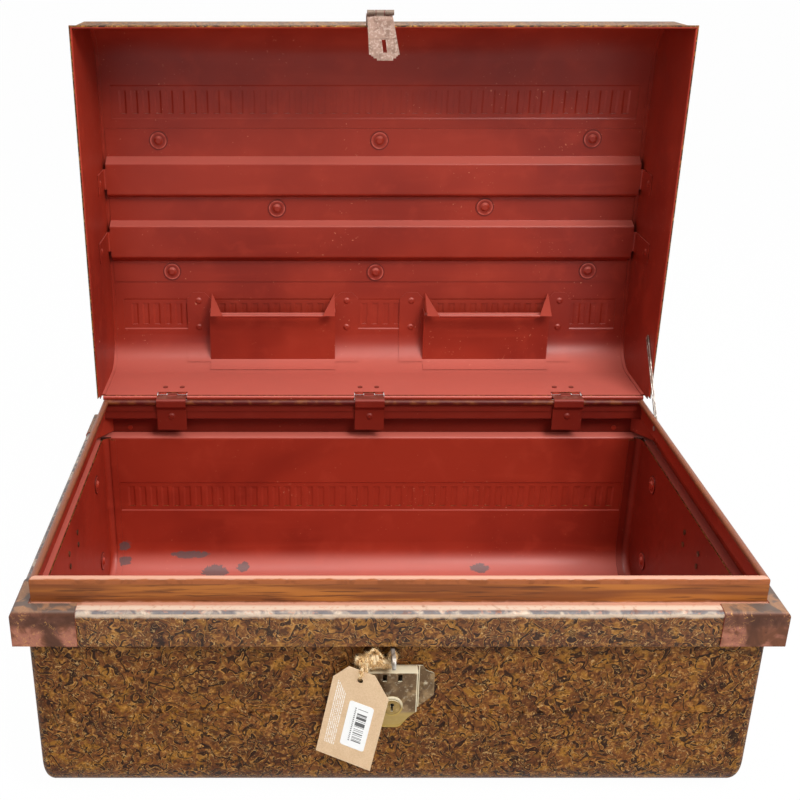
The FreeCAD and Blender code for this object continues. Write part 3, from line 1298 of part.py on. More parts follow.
stay_holes = joined("stay_holes", [arm_bore, slot_bar] + slot_ends)
keep(cut_away("stay_arm", stay_bars, stay_holes), "stay_arm", STAY_POSE)
seat, out, grip = stay_rivet()
add("stay_stud_body", rivet(seat, out, grip, head=s.stud_head, head_height=0.5, tail=s.stud_head))
seat, out, grip = stay_lid_rivet()
add("stay_stud_lid", rivet(seat, out, grip, head=s.stud_head, head_height=0.6, tail=s.stud_head), LID_POSE)


# ---------------------------------------------------------------- tag on a twine
TAG_POSE = Placement(Vector(s.tag_x, s.tag_y, s.tag_z), Rotation(UP, -s.tag_yaw).multiply(
    Rotation(ALONG, 90)).multiply(Rotation(UP, -s.tag_spin)))


def tag_ring(names):
    return [tuple("0" if not name else "Sizes." + name for name in pair) for pair in names]


tag = padded("tag", [tag_ring([("", ""), ("tag_width", ""), ("tag_width", "tag_right"),
                               ("tag_top_right", "tag_height"), ("tag_top_left", "tag_height"),
                               ("", "tag_left")])], "Sizes.tag_thick")
hole = tag.newObject("PartDesign::SubtractiveCylinder", "tag_hole")
hole.setExpression("Radius", "Sizes.tag_hole")
hole.setExpression("Height", "Sizes.tag_thick")
for prop, text in zip(axes(), ("Sizes.tag_hole_x", "Sizes.tag_hole_y", "0")):
    hole.setExpression(prop, text)
tag.Tip = hole
keep(tag, "tag", TAG_POSE)
label_sheet = bound("Box", "tag_label", {"Length": "Sizes.label_width", "Width": "Sizes.label_height",
                    "Height": "Sizes.label_thick"}, ("0", "0", "0"))
corner = Vector(s.label_x, s.label_y, s.tag_thick)
label_sheet.setExpression(".Placement.Base.x", None)
label_sheet.setExpression(".Placement.Base.y", None)
label_sheet.setExpression(".Placement.Base.z", None)
keep(label_sheet, "tag_label", TAG_POSE.multiply(Placement(corner, Rotation())))
knot = bound("Ellipsoid", "twine_knot", {"Radius1": "Sizes.knot_height / 2", "Radius2": "Sizes.knot_length / 2",
             "Radius3": "Sizes.knot_depth / 2"}, ("Sizes.knot_x", front_y("Sizes.knot_out"), "Sizes.knot_z"))
keep(knot, "twine_knot")


def cord_path(points):
    # Straight runs joined by arcs as large as their runs allow.
    edges, last = [], points[0]
    for before, corner, after in zip(points, points[1:], points[2:]):
        a, b = (before - corner), (after - corner)
        run = 0.45 * min(a.Length, b.Length)
        start, end = corner + a.normalize() * run, corner + b.normalize() * run
        half = a.getAngle(b) / 2
        radius = run * math.tan(half)
        bisector = (a + b).normalize()
        middle = corner + bisector * (radius / math.sin(half) - radius)
        edges += [Part.LineSegment(last, start).toShape(), Part.Arc(start, middle, end).toShape()]
        print("twine bend radius %.2f" % radius)
        last = end
    edges.append(Part.LineSegment(last, points[-1]).toShape())
    return Part.Wire(edges)


def tube(path, radius):
    start = path.Edges[0]
    ring = Part.makeCircle(radius, start.valueAt(start.FirstParameter), start.tangentAt(start.FirstParameter))
    return path.makePipeShell([Part.Wire(ring)], True, False)


def twine():
    # One strand from the knot down through the tag and back, and two turns round the staple.
    eye = TAG_POSE.multVec(Vector(s.tag_hole_x, s.tag_hole_y, s.tag_thick / 2))
    front = TAG_POSE.Rotation.multVec(UP)
    rise = TAG_POSE.Rotation.multVec(DEPTH)
    over = s.tag_height - s.tag_hole_y
    knot_y = -(HALF_Y + s.knot_out)
    eye += rise * (s.tag_hole - s.twine_radius - s.fit)
    points = [Vector(s.knot_x - 6.7, knot_y - 3.5, s.knot_z), eye + front * 3.5 + rise * (over + 1),
              eye + front * 3.5, eye - front * 3.5, Vector(s.knot_x - 5.9, knot_y - 2, s.knot_z - 3.5)]
    strands = [tube(cord_path(points), s.twine_radius)]
    half_x = s.staple_thick / 2 + s.bore_gap + s.twine_radius
    half_z = s.staple_height / 2 + s.bore_gap + s.twine_radius
    for turn in range(2):
        y = -(WALL_Y + 5.6 + turn * (2 * s.twine_radius + s.fit))
        ring = outline([(s.hasp_x - half_x, s.staple_z - half_z), (s.hasp_x + half_x, s.staple_z - half_z),
                        (s.hasp_x + half_x, s.staple_z + half_z), (s.hasp_x - half_x, s.staple_z + half_z)],
                       [1.05] * 4, closed=True)
        strands.append(tube(Part.Wire(Part.__sortEdges__(edges_of(ring, in_xz(y)))), s.twine_radius))
    return Part.makeCompound(strands)


add("twine", twine())


# ---------------------------------------------------------------- check and export
doc.recompute()
os.makedirs("parts", exist_ok=True)
for item in doc.Objects:
    if "Invalid" in item.State or "Error" in item.State:
        raise RuntimeError("failed to build: " + item.Name)
triangles = 0
for node in nodes:
    shape = node.Shape
    if shape.isNull() or not shape.isValid() or not shape.Solids:
        raise RuntimeError("bad shape: " + node.Label)
    shape.exportStep("parts/%s.step" % node.Label)
    facets = len(shape.tessellate(0.3)[1])
    triangles += facets
    print("%-22s solids %2d  volume %10.1f  facets %5d" % (node.Label, len(shape.Solids), shape.Volume, facets))
print(len(nodes), "nodes,", triangles, "facets")
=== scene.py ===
import math
import random

import bpy
from mathutils import Matrix, Vector


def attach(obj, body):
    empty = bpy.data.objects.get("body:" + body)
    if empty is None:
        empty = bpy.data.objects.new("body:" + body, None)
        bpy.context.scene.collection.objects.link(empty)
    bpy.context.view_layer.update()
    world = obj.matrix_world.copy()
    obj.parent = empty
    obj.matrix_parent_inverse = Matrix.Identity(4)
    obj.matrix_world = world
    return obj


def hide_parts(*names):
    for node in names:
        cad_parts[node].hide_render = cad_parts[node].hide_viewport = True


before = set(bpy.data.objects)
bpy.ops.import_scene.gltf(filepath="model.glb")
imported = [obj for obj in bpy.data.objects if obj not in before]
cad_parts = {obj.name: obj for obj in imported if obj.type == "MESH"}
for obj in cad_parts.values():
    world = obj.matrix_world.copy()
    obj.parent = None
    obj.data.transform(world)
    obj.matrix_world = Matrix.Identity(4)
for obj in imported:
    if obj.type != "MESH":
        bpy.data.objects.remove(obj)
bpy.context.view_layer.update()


def tint(*levels):
    # Red, green and blue are written 0 to 255, as a paint card has them.
    return tuple(((c / 255 + 0.055) / 1.055) ** 2.4 if c > 10 else c / 3294.6 for c in levels) + (1,)


def linkObject(name, data):
    made = bpy.data.objects.new(name, data)
    bpy.context.collection.objects.link(made)
    return made


# camera, and lamps with their place, size and power
cameraSet = {"place": (-0.0899, -1.1555, 0.8198), "tilt": 66.4, "lens": 51.69, "sensor": 36,
             "shift": (0.1198, 0.0304), "near": 0.01}
lampSet = {"keyBox": ((0.75, -1.1, 1.75), 0.8, 31.0), "fillBox": ((-1.3, -1.0, 1.0), 1.4, 3.5),
           "topBox": ((0.0, -0.15, 2.1), 1.1, 21.0), "backBox": ((0.3, 2.0, 1.3), 1.6, 7.0)}
lampAim = Vector((0, 0.05, 0.3))

camera = linkObject("trunkCamera", bpy.data.cameras.new("trunkCamera"))
camera.location = cameraSet["place"]
camera.rotation_euler = (math.radians(cameraSet["tilt"]), 0, 0)
camera.data.lens = cameraSet["lens"]
camera.data.sensor_width = cameraSet["sensor"]
camera.data.shift_x, camera.data.shift_y = cameraSet["shift"]
camera.data.clip_start = cameraSet["near"]
bpy.context.scene.camera = camera
bpy.context.scene.view_settings.view_transform = "Standard"

for name, (place, size, power) in lampSet.items():
    lamp = linkObject(name, bpy.data.lights.new(name, "AREA"))
    lamp.data.size = size
    lamp.data.energy = power
    lamp.location = place
    lamp.rotation_euler = (lampAim - Vector(place)).to_track_quat("-Z", "Y").to_euler()
print("camera and lamps set")


# twine that holds the dealer's tag, from the knot through the tag and back
twineSet = {"radius": 0.001,
            "route": [(-0.0325, -0.2405, 0.1715), (-0.0337, -0.2464, 0.1682), (-0.0360, -0.2460, 0.1560),
                      (-0.0337, -0.2394, 0.1558), (-0.0317, -0.2390, 0.1680)]}


def nurbsTube(name, points, radius):
    line = bpy.data.curves.new(name, "CURVE")
    line.dimensions = "3D"
    spline = line.splines.new("NURBS")
    spline.points.add(len(points) - 1)
    for spot, point in zip(spline.points, points):
        spot.co = (*point, 1)
    spline.order_u = 3
    spline.use_endpoint_u = True
    spline.resolution_u = 12
    line.bevel_depth = radius
    line.bevel_resolution = 3
    line.use_fill_caps = True
    return linkObject(name, line)


tagTwine = nurbsTube("tagTwine", twineSet["route"], twineSet["radius"])

# Bundle of strands between the tag and the staple, wrapped, with a loop and four ends that drop. The last
# number of each place in "drop" is its share of the end's lean.
bundleSet = {"radius": 0.00135, "seed": 7, "heart": Vector((-0.0258, -0.2376, 0.1715)),
             "strands": 11, "steps": 14, "start": -0.0142, "length": 0.0335, "twist": 1.5,
             "thin": 0.0014, "belly": 0.0038, "fullness": 0.7, "fall": 0.0012, "wave": 0.001, "waves": 7,
             "sag": 0.0030, "wander": 0.0011, "wanders": 8, "wanderShift": 3,
             "ringPoints": 13, "ringOverlap": 1.04,
             "wraps": 4, "wrapFirst": -0.004, "wrapApart": 0.0036, "wrapClimb": 0.0007,
             "wrapHalf": (0.0060, 0.0061), "wrapLoose": (0.0005, 0.0006), "wrapLean": 0.0025,
             "staple": Vector((-0.005, -0.2348, 0.1742)), "stapleApart": 0.0011,
             "stapleHalf": (0.0034, 0.0052), "stapleLean": 0.0003,
             "loop": [(-0.0335, -0.2385, 0.1735), (-0.0290, -0.2400, 0.1800), (-0.0240, -0.2395, 0.1862),
                      (-0.0200, -0.2385, 0.1830), (-0.0150, -0.2385, 0.1760)],
             "drop": [(-0.0312, -0.2395, 0.1715, 0), (-0.0325, -0.2462, 0.1680, 1),
                      (-0.0354, -0.2462, 0.1582, 0.8), (-0.0350, -0.2442, 0.1562, 0.5)],
             "dropLeans": (-0.0014, 0.0019, -0.0032, 0.0038), "dropThin": 0.75}


def strandPath(index, chance):
    # One strand of the bundle, lying from the tag end to the staple.
    points = []
    heart, count, most = bundleSet["heart"], bundleSet["wanders"], bundleSet["wander"]
    phase = index * 2 * math.pi / bundleSet["strands"]
    wander = [chance.uniform(-most, most) for spot in range(count)]
    for step in range(bundleSet["steps"] + 1):
        along = step / bundleSet["steps"]
        swell = bundleSet["thin"] + bundleSet["belly"] * math.sin(math.pi * along) ** bundleSet["fullness"]
        turn = phase + bundleSet["twist"] * 2 * math.pi * along
        lift = -bundleSet["fall"] * along + bundleSet["wave"] * math.sin(along * bundleSet["waves"] + phase)
        sideways = wander[step % count]
        upwards = wander[(step + bundleSet["wanderShift"]) % count]
        points.append((heart.x + bundleSet["start"] + bundleSet["length"] * along,
                       heart.y + swell * math.cos(turn) + sideways,
                       heart.z + swell * math.sin(turn) + lift + upwards - bundleSet["sag"] * along ** 2))
    return points


def ringPath(centre, half, tilt, around):
    # A turn of twine round the "staple" or round the "bundle".
    points = []
    for step in range(bundleSet["ringPoints"]):
        turn = 2 * math.pi * step / (bundleSet["ringPoints"] - 1) * bundleSet["ringOverlap"]
        across, up = half[0] * math.cos(turn), half[1] * math.sin(turn)
        lean = tilt * math.sin(turn)
        x, y = (lean, across) if around == "bundle" else (across, lean)
        points.append((centre.x + x, centre.y + y, centre.z + up))
    return points


def meshOf(curve):
    # The curve as a plain mesh object in the same place.
    found = bpy.context.evaluated_depsgraph_get()
    mesh = bpy.data.meshes.new_from_object(curve.evaluated_get(found))
    name = curve.name
    bpy.data.objects.remove(curve)
    return linkObject(name, mesh)


def joined(name, pieces):
    # One object from several, which ends the others.
    with bpy.context.temp_override(active_object=pieces[0], selected_editable_objects=pieces):
        bpy.ops.object.join()
    pieces[0].name = name
    return pieces[0]


def twineBundle():
    chance = random.Random(bundleSet["seed"])
    routes = [strandPath(index, chance) for index in range(bundleSet["strands"])]
    for index in range(bundleSet["wraps"]):
        place = bundleSet["heart"] + Vector((bundleSet["wrapFirst"] + bundleSet["wrapApart"] * index, 0,
                                             bundleSet["wrapClimb"] * index))
        half = [tight + chance.uniform(0, loose)
                for tight, loose in zip(bundleSet["wrapHalf"], bundleSet["wrapLoose"])]
        tilt = chance.uniform(-bundleSet["wrapLean"], bundleSet["wrapLean"])
        routes.append(ringPath(place, half, tilt, "bundle"))
    for apart in (bundleSet["stapleApart"], -bundleSet["stapleApart"]):
        routes.append(ringPath(bundleSet["staple"] + Vector((0, apart, 0)), bundleSet["stapleHalf"],
                               bundleSet["stapleLean"], "staple"))
    routes.append(bundleSet["loop"])
    tubes = [meshOf(nurbsTube("strand", route, bundleSet["radius"])) for route in routes]
    for lean in bundleSet["dropLeans"]:
        drop = [(x + lean * share, y, z) for x, y, z, share in bundleSet["drop"]]
        tubes.append(meshOf(nurbsTube("drop", drop, bundleSet["radius"] * bundleSet["dropThin"])))
    return joined("twineBundle", tubes)


bundle = twineBundle()
print("twine and its bundle made")


# wiring of nodes, for finishes, the fibres and the world
class Wire:
    def __init__(self, wiring, end):
        self.wiring, self.end = wiring, end

    def also(self, out):
        # Another output of the same node.
        return Wire(self.wiring, self.end.node.outputs[out])

    def reckon(self, operation, other=None, flipped=False):
        pair = (other, self) if flipped else (self, other)
        sockets = {0: self} if other is None else {0: pair[0], 1: pair[1]}
        return self.wiring.node("ShaderNodeMath", {"operation": operation}, sockets)

    def __add__(self, other):
        return self.reckon("ADD", other)

    def __sub__(self, other):
        return self.reckon("SUBTRACT", other)

    def __rsub__(self, other):
        return self.reckon("SUBTRACT", other, flipped=True)

    def __mul__(self, other):
        return self.reckon("MULTIPLY", other)

    def __abs__(self):
        return self.reckon("ABSOLUTE")

    __radd__ = __add__
    __rmul__ = __mul__

    def between(self, low, high, strength=None):
        # 0 at low and 1 at high, with soft ends, times "strength"; low may be the larger.
        soft = self.wiring.node("ShaderNodeMapRange", {"interpolation_type": "SMOOTHSTEP"},
                                {"Value": self, "From Min": low, "From Max": high})
        return soft * strength if strength else soft

    def band(self, start, full, fade, end):
        # 1 from full to fade, 0 before start and after end.
        return self.between(start, full) * self.between(end, fade)

    def lines(self, count, half):
        # Thin lines where the value, times "count", is half way between whole numbers.
        return abs((self * count).reckon("FRACT") - 0.5).between(*half)


class Wiring:
    def __init__(self, tree):
        self.tree = tree
        tree.nodes.clear()

    def node(self, kind, settings=None, sockets=None, out=0):
        made = self.tree.nodes.new(kind)
        for key, value in (settings or {}).items():
            setattr(made, key, value)
        for key, value in (sockets or {}).items():
            if isinstance(value, Wire):
                self.tree.links.new(value.end, made.inputs[key])
            else:
                made.inputs[key].default_value = value
        return Wire(self, made.outputs[out]) if made.outputs else None


class Finish(Wiring):
    def __init__(self, name):
        self.material = bpy.data.materials.new(name)
        self.material.use_nodes = True
        super().__init__(self.material.node_tree)
        self.spot = self.node("ShaderNodeTexCoord", out="Object")
        self.normal = self.node("ShaderNodeTexCoord", out="Normal")

    def vector(self, operation, first, second):
        out = "Value" if operation in ("DOT_PRODUCT", "DISTANCE") else "Vector"
        return self.node("ShaderNodeVectorMath", {"operation": operation}, {0: first, 1: second}, out)

    def part(self, letter, wire):
        return self.node("ShaderNodeSeparateXYZ", None, {0: wire}, letter)

    def mix(self, share, under, over):
        return self.node("ShaderNodeMix", {"data_type": "RGBA"}, {0: share, 6: under, 7: over}, 2)

    def lay(self, under, wire, use, colour):
        # A colour of the dictionary "use" over "under", by the lay of its name.
        return self.mix(wire.between(*use[colour + "Lay"]), under, use[colour])

    def cloud(self, scale, detail=2.0, distortion=0.0, move=None, stretch=None):
        where = self.spot
        if move:
            where = self.vector("ADD", where, move)
        if stretch:
            where = self.vector("MULTIPLY", where, stretch)
        return self.node("ShaderNodeTexNoise", None, {"Vector": where, "Scale": scale, "Detail": detail,
                                                      "Distortion": distortion})

    def away(self, centre, mask):
        # Above 0 where the face looks away from "centre", along the axes in "mask".
        arm = self.vector("MULTIPLY", self.vector("SUBTRACT", self.spot, centre), mask)
        return self.vector("DOT_PRODUCT", arm, self.normal)

    def close(self, colour, roughness, height, depth, **fixed):
        bump = self.node("ShaderNodeBump", None, {"Height": height, "Distance": depth, "Strength": 1.0})
        sockets = {"Base Color": colour, "Roughness": roughness, "Normal": bump}
        sockets.update((key.replace("_", " "), value) for key, value in fixed.items())
        surface = self.node("ShaderNodeBsdfPrincipled", None, sockets)
        self.node("ShaderNodeOutputMaterial", None, {"Surface": surface})
        return self.material

    def closeRubbed(self, colour, rub, height, use):
        # As "close", rougher where "rub" is high: "use" has the least roughness and how much more.
        least, more = use["roughness"]
        return self.close(colour, least + rub * more, height, use["depth"], **use["gloss"])


def blend(share, under, over):
    return under * (1 - share) + over * share


def weigh(wires, weights):
    # Sum of the wires, each times its weight.
    parts = [wire * weight for wire, weight in zip(wires, weights)]
    return sum(parts[1:], parts[0])


# Painted finishes. A cloud has its scale, detail, distortion, place and stretch. A lay, and any other
# pair of levels, says where a colour starts and where it is full, and then its strength if that isn't 1.
brownSet = {"brown": tint(112, 65, 28), "ochre": tint(142, 94, 32), "umber": tint(80, 42, 20),
            "stroke": tint(38, 19, 9), "gleam": tint(186, 132, 66), "fleck": tint(216, 172, 110),
            "plain": tint(96, 54, 24), "plainStrength": 0.85, "plainFade": 0.004,
            "blotchCloud": (70, 3, 0.9), "ochreLay": (0.48, 0.64),
            "shadeCloud": (22, 4, 0.5, (0.3, 0.1, 0.7)), "umberLay": (0.46, 0.62, 0.7),
            "gritCloud": (180, 3, 1.2, (0.5, 0.5, 0.5)), "gritDark": (0.48, 0.40, 0.6),
            "gritLight": (0.56, 0.66, 0.5),
            "turnCloud": (62, 0.8, 0.5), "turns": 5.5, "strokeBand": (0.56, 0.68, 0.87, 0.91),
            "gleamBand": (0.89, 0.92, 0.95, 1.0), "strokeStrength": 0.9, "gleamStrength": 0.75,
            "breakCloud": (135, 1, 0.8, (0.2, 0.5, 0.1)), "breakLay": (0.42, 0.48),
            "scratchCloud": (110, 1.5, 0.8, (0.6, 0.2, 0.8)), "scratches": 6, "scratchHalf": (0.10, 0.03),
            "scratchStrength": 0.55, "wornCloud": (120, 2, 0.4, (0.7, 0.2, 0.4)), "wornLay": (0.50, 0.58),
            "fleckCloud": (460, 2), "fleckLay": (0.63, 0.68), "fleckStrength": 0.4,
            "patchCloud": (34, 2, 0.5, (0.9, 0.9, 0.2)), "patchLay": (0.50, 0.62),
            "relief": (0.5, -0.5, 0.4, 0.4, 0.6)}


def scumble(finish):
    # Brown glaze over ochre, worked with short curled strokes, each with a painted highlight along one side.
    blotch = finish.cloud(*brownSet["blotchCloud"])
    shade = finish.cloud(*brownSet["shadeCloud"])
    colour = finish.lay(brownSet["brown"], blotch, brownSet, "ochre")
    colour = finish.lay(colour, shade, brownSet, "umber")
    grit = finish.cloud(*brownSet["gritCloud"])
    colour = finish.mix(grit.between(*brownSet["gritDark"]), colour, brownSet["stroke"])
    colour = finish.mix(grit.between(*brownSet["gritLight"]), colour, brownSet["gleam"])
    turn = (finish.cloud(*brownSet["turnCloud"]) * brownSet["turns"]).reckon("FRACT")
    breaks = finish.cloud(*brownSet["breakCloud"]).between(*brownSet["breakLay"])
    stroke = turn.band(*brownSet["strokeBand"]) * breaks
    gleam = turn.band(*brownSet["gleamBand"]) * breaks
    scratch = finish.cloud(*brownSet["scratchCloud"]).lines(brownSet["scratches"], brownSet["scratchHalf"])
    scratch = scratch * finish.cloud(*brownSet["wornCloud"]).between(*brownSet["wornLay"])
    # painted highlight: a pale band beside each stroke stands in for light on the raised paint
    colour = finish.mix(gleam * brownSet["gleamStrength"], colour, brownSet["gleam"])
    colour = finish.mix(stroke * brownSet["strokeStrength"], colour, brownSet["stroke"])
    flecks = finish.cloud(*brownSet["fleckCloud"]).between(*brownSet["fleckLay"])
    flecks = flecks * finish.cloud(*brownSet["patchCloud"]).between(*brownSet["patchLay"])
    light = (scratch * brownSet["scratchStrength"]).reckon("MAXIMUM", flecks * brownSet["fleckStrength"])
    colour = finish.mix(light, colour, brownSet["fleck"])
    return colour, weigh((blotch, stroke, gleam, scratch, grit), brownSet["relief"])


# "shade" is a dark red used for painted shade and painted shadow
redSet = {"red": tint(156, 48, 30), "bright": tint(172, 60, 40), "deep": tint(134, 36, 22),
          "paintedSheen": tint(214, 116, 102), "shade": tint(84, 14, 8), "scratch": tint(206, 132, 104),
          "wideCloud": (5, 3, 0.4), "redLay": (0.34, 0.60),
          "fineCloud": (38, 4, 0.3, (0.4, 0.1, 0.2)), "fineLay": (0.50, 0.75, 0.35),
          "runCloud": (30, 3, 0.2, None, (0.18, 1.6, 1.6)), "runLay": (0.56, 0.74, 0.30),
          "nickCloud": (300, 2), "nickLay": (0.70, 0.74), "nickStrength": 0.7,
          "patchCloud": (14, 2, 0, (0.5, 0.8, 0.1)), "patchLay": (0.50, 0.60),
          "paintedSheenLay": (0.25, 0.8, 0.6), "overStrength": 0.7,
          "relief": (0.3, 0.3, 0.8), "roughness": (0.38, 0.22), "depth": 0.0005,
          "gloss": {"Coat_Weight": 0.35, "Coat_Roughness": 0.34, "Specular_IOR_Level": 0.12}}


def oxblood(finish):
    # Brushed red oxide paint with darker and brighter passes and small scratches, and a pale pink painted
    # sheen on faces that look up.
    wide, fine = finish.cloud(*redSet["wideCloud"]), finish.cloud(*redSet["fineCloud"])
    colour = finish.lay(redSet["deep"], wide, redSet, "red")
    colour = finish.mix(fine.between(*redSet["fineLay"]), colour, redSet["bright"])
    runs = finish.cloud(*redSet["runCloud"])
    colour = finish.mix(runs.between(*redSet["runLay"]), colour, redSet["bright"])
    nick = finish.cloud(*redSet["nickCloud"]).between(*redSet["nickLay"])
    nick = nick * finish.cloud(*redSet["patchCloud"]).between(*redSet["patchLay"])
    colour = finish.mix(nick * redSet["nickStrength"], colour, redSet["scratch"])
    # painted sheen: faces that look up are mixed towards a pale pink
    colour = finish.lay(colour, finish.part("Z", finish.normal), redSet, "paintedSheen")
    least, more = redSet["roughness"]
    return colour, weigh((fine, runs, wide), redSet["relief"]), least + fine * more


def redPaint(name, over=None):
    # The inside red by itself, evened out with the colour "over" where there is one.
    finish = Finish(name)
    red, height, roughness = oxblood(finish)
    if over:
        red = finish.mix(redSet["overStrength"], red, over)
    return finish.close(red, roughness, height, redSet["depth"], **redSet["gloss"])


# The two folded sheets: flat walls look along one axis, and the fold along another. Faces that look along
# neither are brown where they lie more than "half" from the heart, and elsewhere count as "slack".
bodySheet = {"heart": (0, 0, 0.13), "flat": "Y", "half": 0.2274, "fold": "Z", "foldSpan": (0.045, 0.02),
             "slack": -0.01}
lidSheet = {"heart": (0, 0.225, 0.485), "flat": "Z", "half": 0.2289, "fold": "Y", "foldSpan": (0.285, 0.31),
            "slack": 0.0}
# "dull" is the share of painted shade on the inside of the right end wall
shellSet = {"turnSpan": (-0.004, 0.004), "proudGain": 5.0, "bare": tint(92, 84, 84), "bareStrength": 0.8,
            "bareCloud": (110, 4, 1.2), "bareRagged": 2.4, "bareEdge": (2.05, 1.80), "plainBelow": 0.012,
            "roughness": 0.5, "depth": 0.0011, "dull": 0.45}
# place and reach of each patch
barePatches = [((-0.336, 0.224, 0.034), (0.009, 0.02, 0.008)),
               ((-0.336, 0.217, 0.016), (0.010, 0.02, 0.006)),
               ((-0.247, 0.222, 0.022), (0.030, 0.02, 0.005)),
               ((-0.212, 0.206, 0.005), (0.020, 0.012, 0.010)),
               ((-0.174, 0.212, 0.009), (0.010, 0.012, 0.006)),
               ((0.150, 0.210, 0.008), (0.014, 0.012, 0.006))]


def wrapOutside(finish, sheet):
    # 1 on the outer side of a folded sheet, and on those parts of its edges that lie furthest out.
    arm = finish.vector("SUBTRACT", finish.spot, sheet["heart"])
    look = finish.vector("MULTIPLY", arm, finish.normal)
    proud = abs(finish.part(sheet["flat"], arm)) - sheet["half"]
    proud = (proud * shellSet["proudGain"]).reckon("MAXIMUM", sheet["slack"])
    onFold = finish.part(sheet["fold"], finish.spot).between(*sheet["foldSpan"])
    fold = finish.part(sheet["fold"], look) * onFold
    return (finish.part(sheet["flat"], look) + fold + proud).between(*shellSet["turnSpan"])


def endOutside(finish, sheet):
    # Red also on the flange, which lies inside the folded sheet and looks at its middle.
    return finish.away(sheet["heart"], (1, 1, 1)).between(*shellSet["turnSpan"])


def rivetOutside(finish, sheet):
    # Rivets of the lid's sheet: their place along the trunk doesn't count.
    return finish.away(sheet["heart"], (0, 1, 1)).between(*shellSet["turnSpan"])


def shellPaint(name, outsideOf, sheet, patches=(), plainBelow=None, shade=None):
    # Scumbled outside, red inside, darkened with painted shade where "shade" says, and bare grey where the
    # paint has gone.
    finish = Finish(name)
    outside = outsideOf(finish, sheet)
    brown, brownHeight = scumble(finish)
    red, redHeight, redRough = oxblood(finish)
    if plainBelow:
        low = finish.part("Z", finish.spot).between(plainBelow + brownSet["plainFade"], plainBelow)
        brown = finish.mix(low * brownSet["plainStrength"], brown, brownSet["plain"])
    for place, reach in patches:
        span = finish.vector("SUBTRACT", finish.spot, place)
        span = finish.vector("MULTIPLY", span, [1 / r for r in reach])
        size = finish.vector("DOT_PRODUCT", span, span)
        ragged = size + finish.cloud(*shellSet["bareCloud"]) * shellSet["bareRagged"]
        bare = ragged.between(*shellSet["bareEdge"]) * shellSet["bareStrength"]
        red = finish.mix(bare, red, shellSet["bare"])
    # painted shade: the red is mixed towards the dark shade colour
    if shade:
        red = finish.mix(shade, red, redSet["shade"])
    gloss = dict(redSet["gloss"], Coat_Weight=(1 - outside) * redSet["gloss"]["Coat_Weight"])
    return finish.close(finish.mix(outside, red, brown), blend(outside, redRough, shellSet["roughness"]),
                        blend(outside, redHeight, brownHeight), shellSet["depth"], **gloss)


rimSet = {"gold": tint(172, 102, 40), "oak": tint(126, 66, 26), "streak": tint(84, 42, 18),
          "beige": tint(206, 184, 162), "slate": tint(112, 106, 106), "pink": tint(188, 130, 104),
          "beadWorn": tint(208, 154, 130), "beadRed": tint(156, 86, 44), "beadBrown": tint(118, 64, 42),
          "neckHalf": (0.350, 0.222), "turnSpan": (-0.03, 0.03), "grainStretch": 0.05,
          "grainCloud": (420, 3, 0.3, None), "streakLay": (0.52, 0.66, 0.7),
          "slowCloud": (90, 2, 0.4, (0.2, 0.4, 0.3)), "goldLay": (0.40, 0.62), "rubCloud": (70, 4, 0.6),
          "beigeFrom": (0.001, 0.006), "slateFrom": (0.009, 0.0125), "slateLay": (0.3, 0.55),
          "fineCloud": (260, 3), "fineLay": (0.55, 0.70, 0.5), "oakLay": (0.60, 0.74, 0.6),
          "neckRagged": 0.004, "neckFoot": (0.2315, 0.2275),
          "skirtRagged": 0.006, "skirtTop": (0.2215, 0.2250, 0.8), "skirtFrom": (0.011, 0.0125),
          "shoulderUp": (0.45, 0.7), "shoulderBelow": (0.232, 0.229),
          "beadAbove": (0.2465, 0.2475), "beadLay": (0.45, 0.65, 0.7),
          "wearRagged": 0.9, "wearLay": (0.75, 1.15), "frontWear": 0.85, "backWear": 0.05, "endWear": 0.12,
          "backShade": 0.6, "grainRelief": 0.25, "roughness": (0.38, 0.15), "depth": 0.0005,
          "gloss": {"Coat_Weight": 0.06, "Coat_Roughness": 0.3, "Specular_IOR_Level": 0.25}}


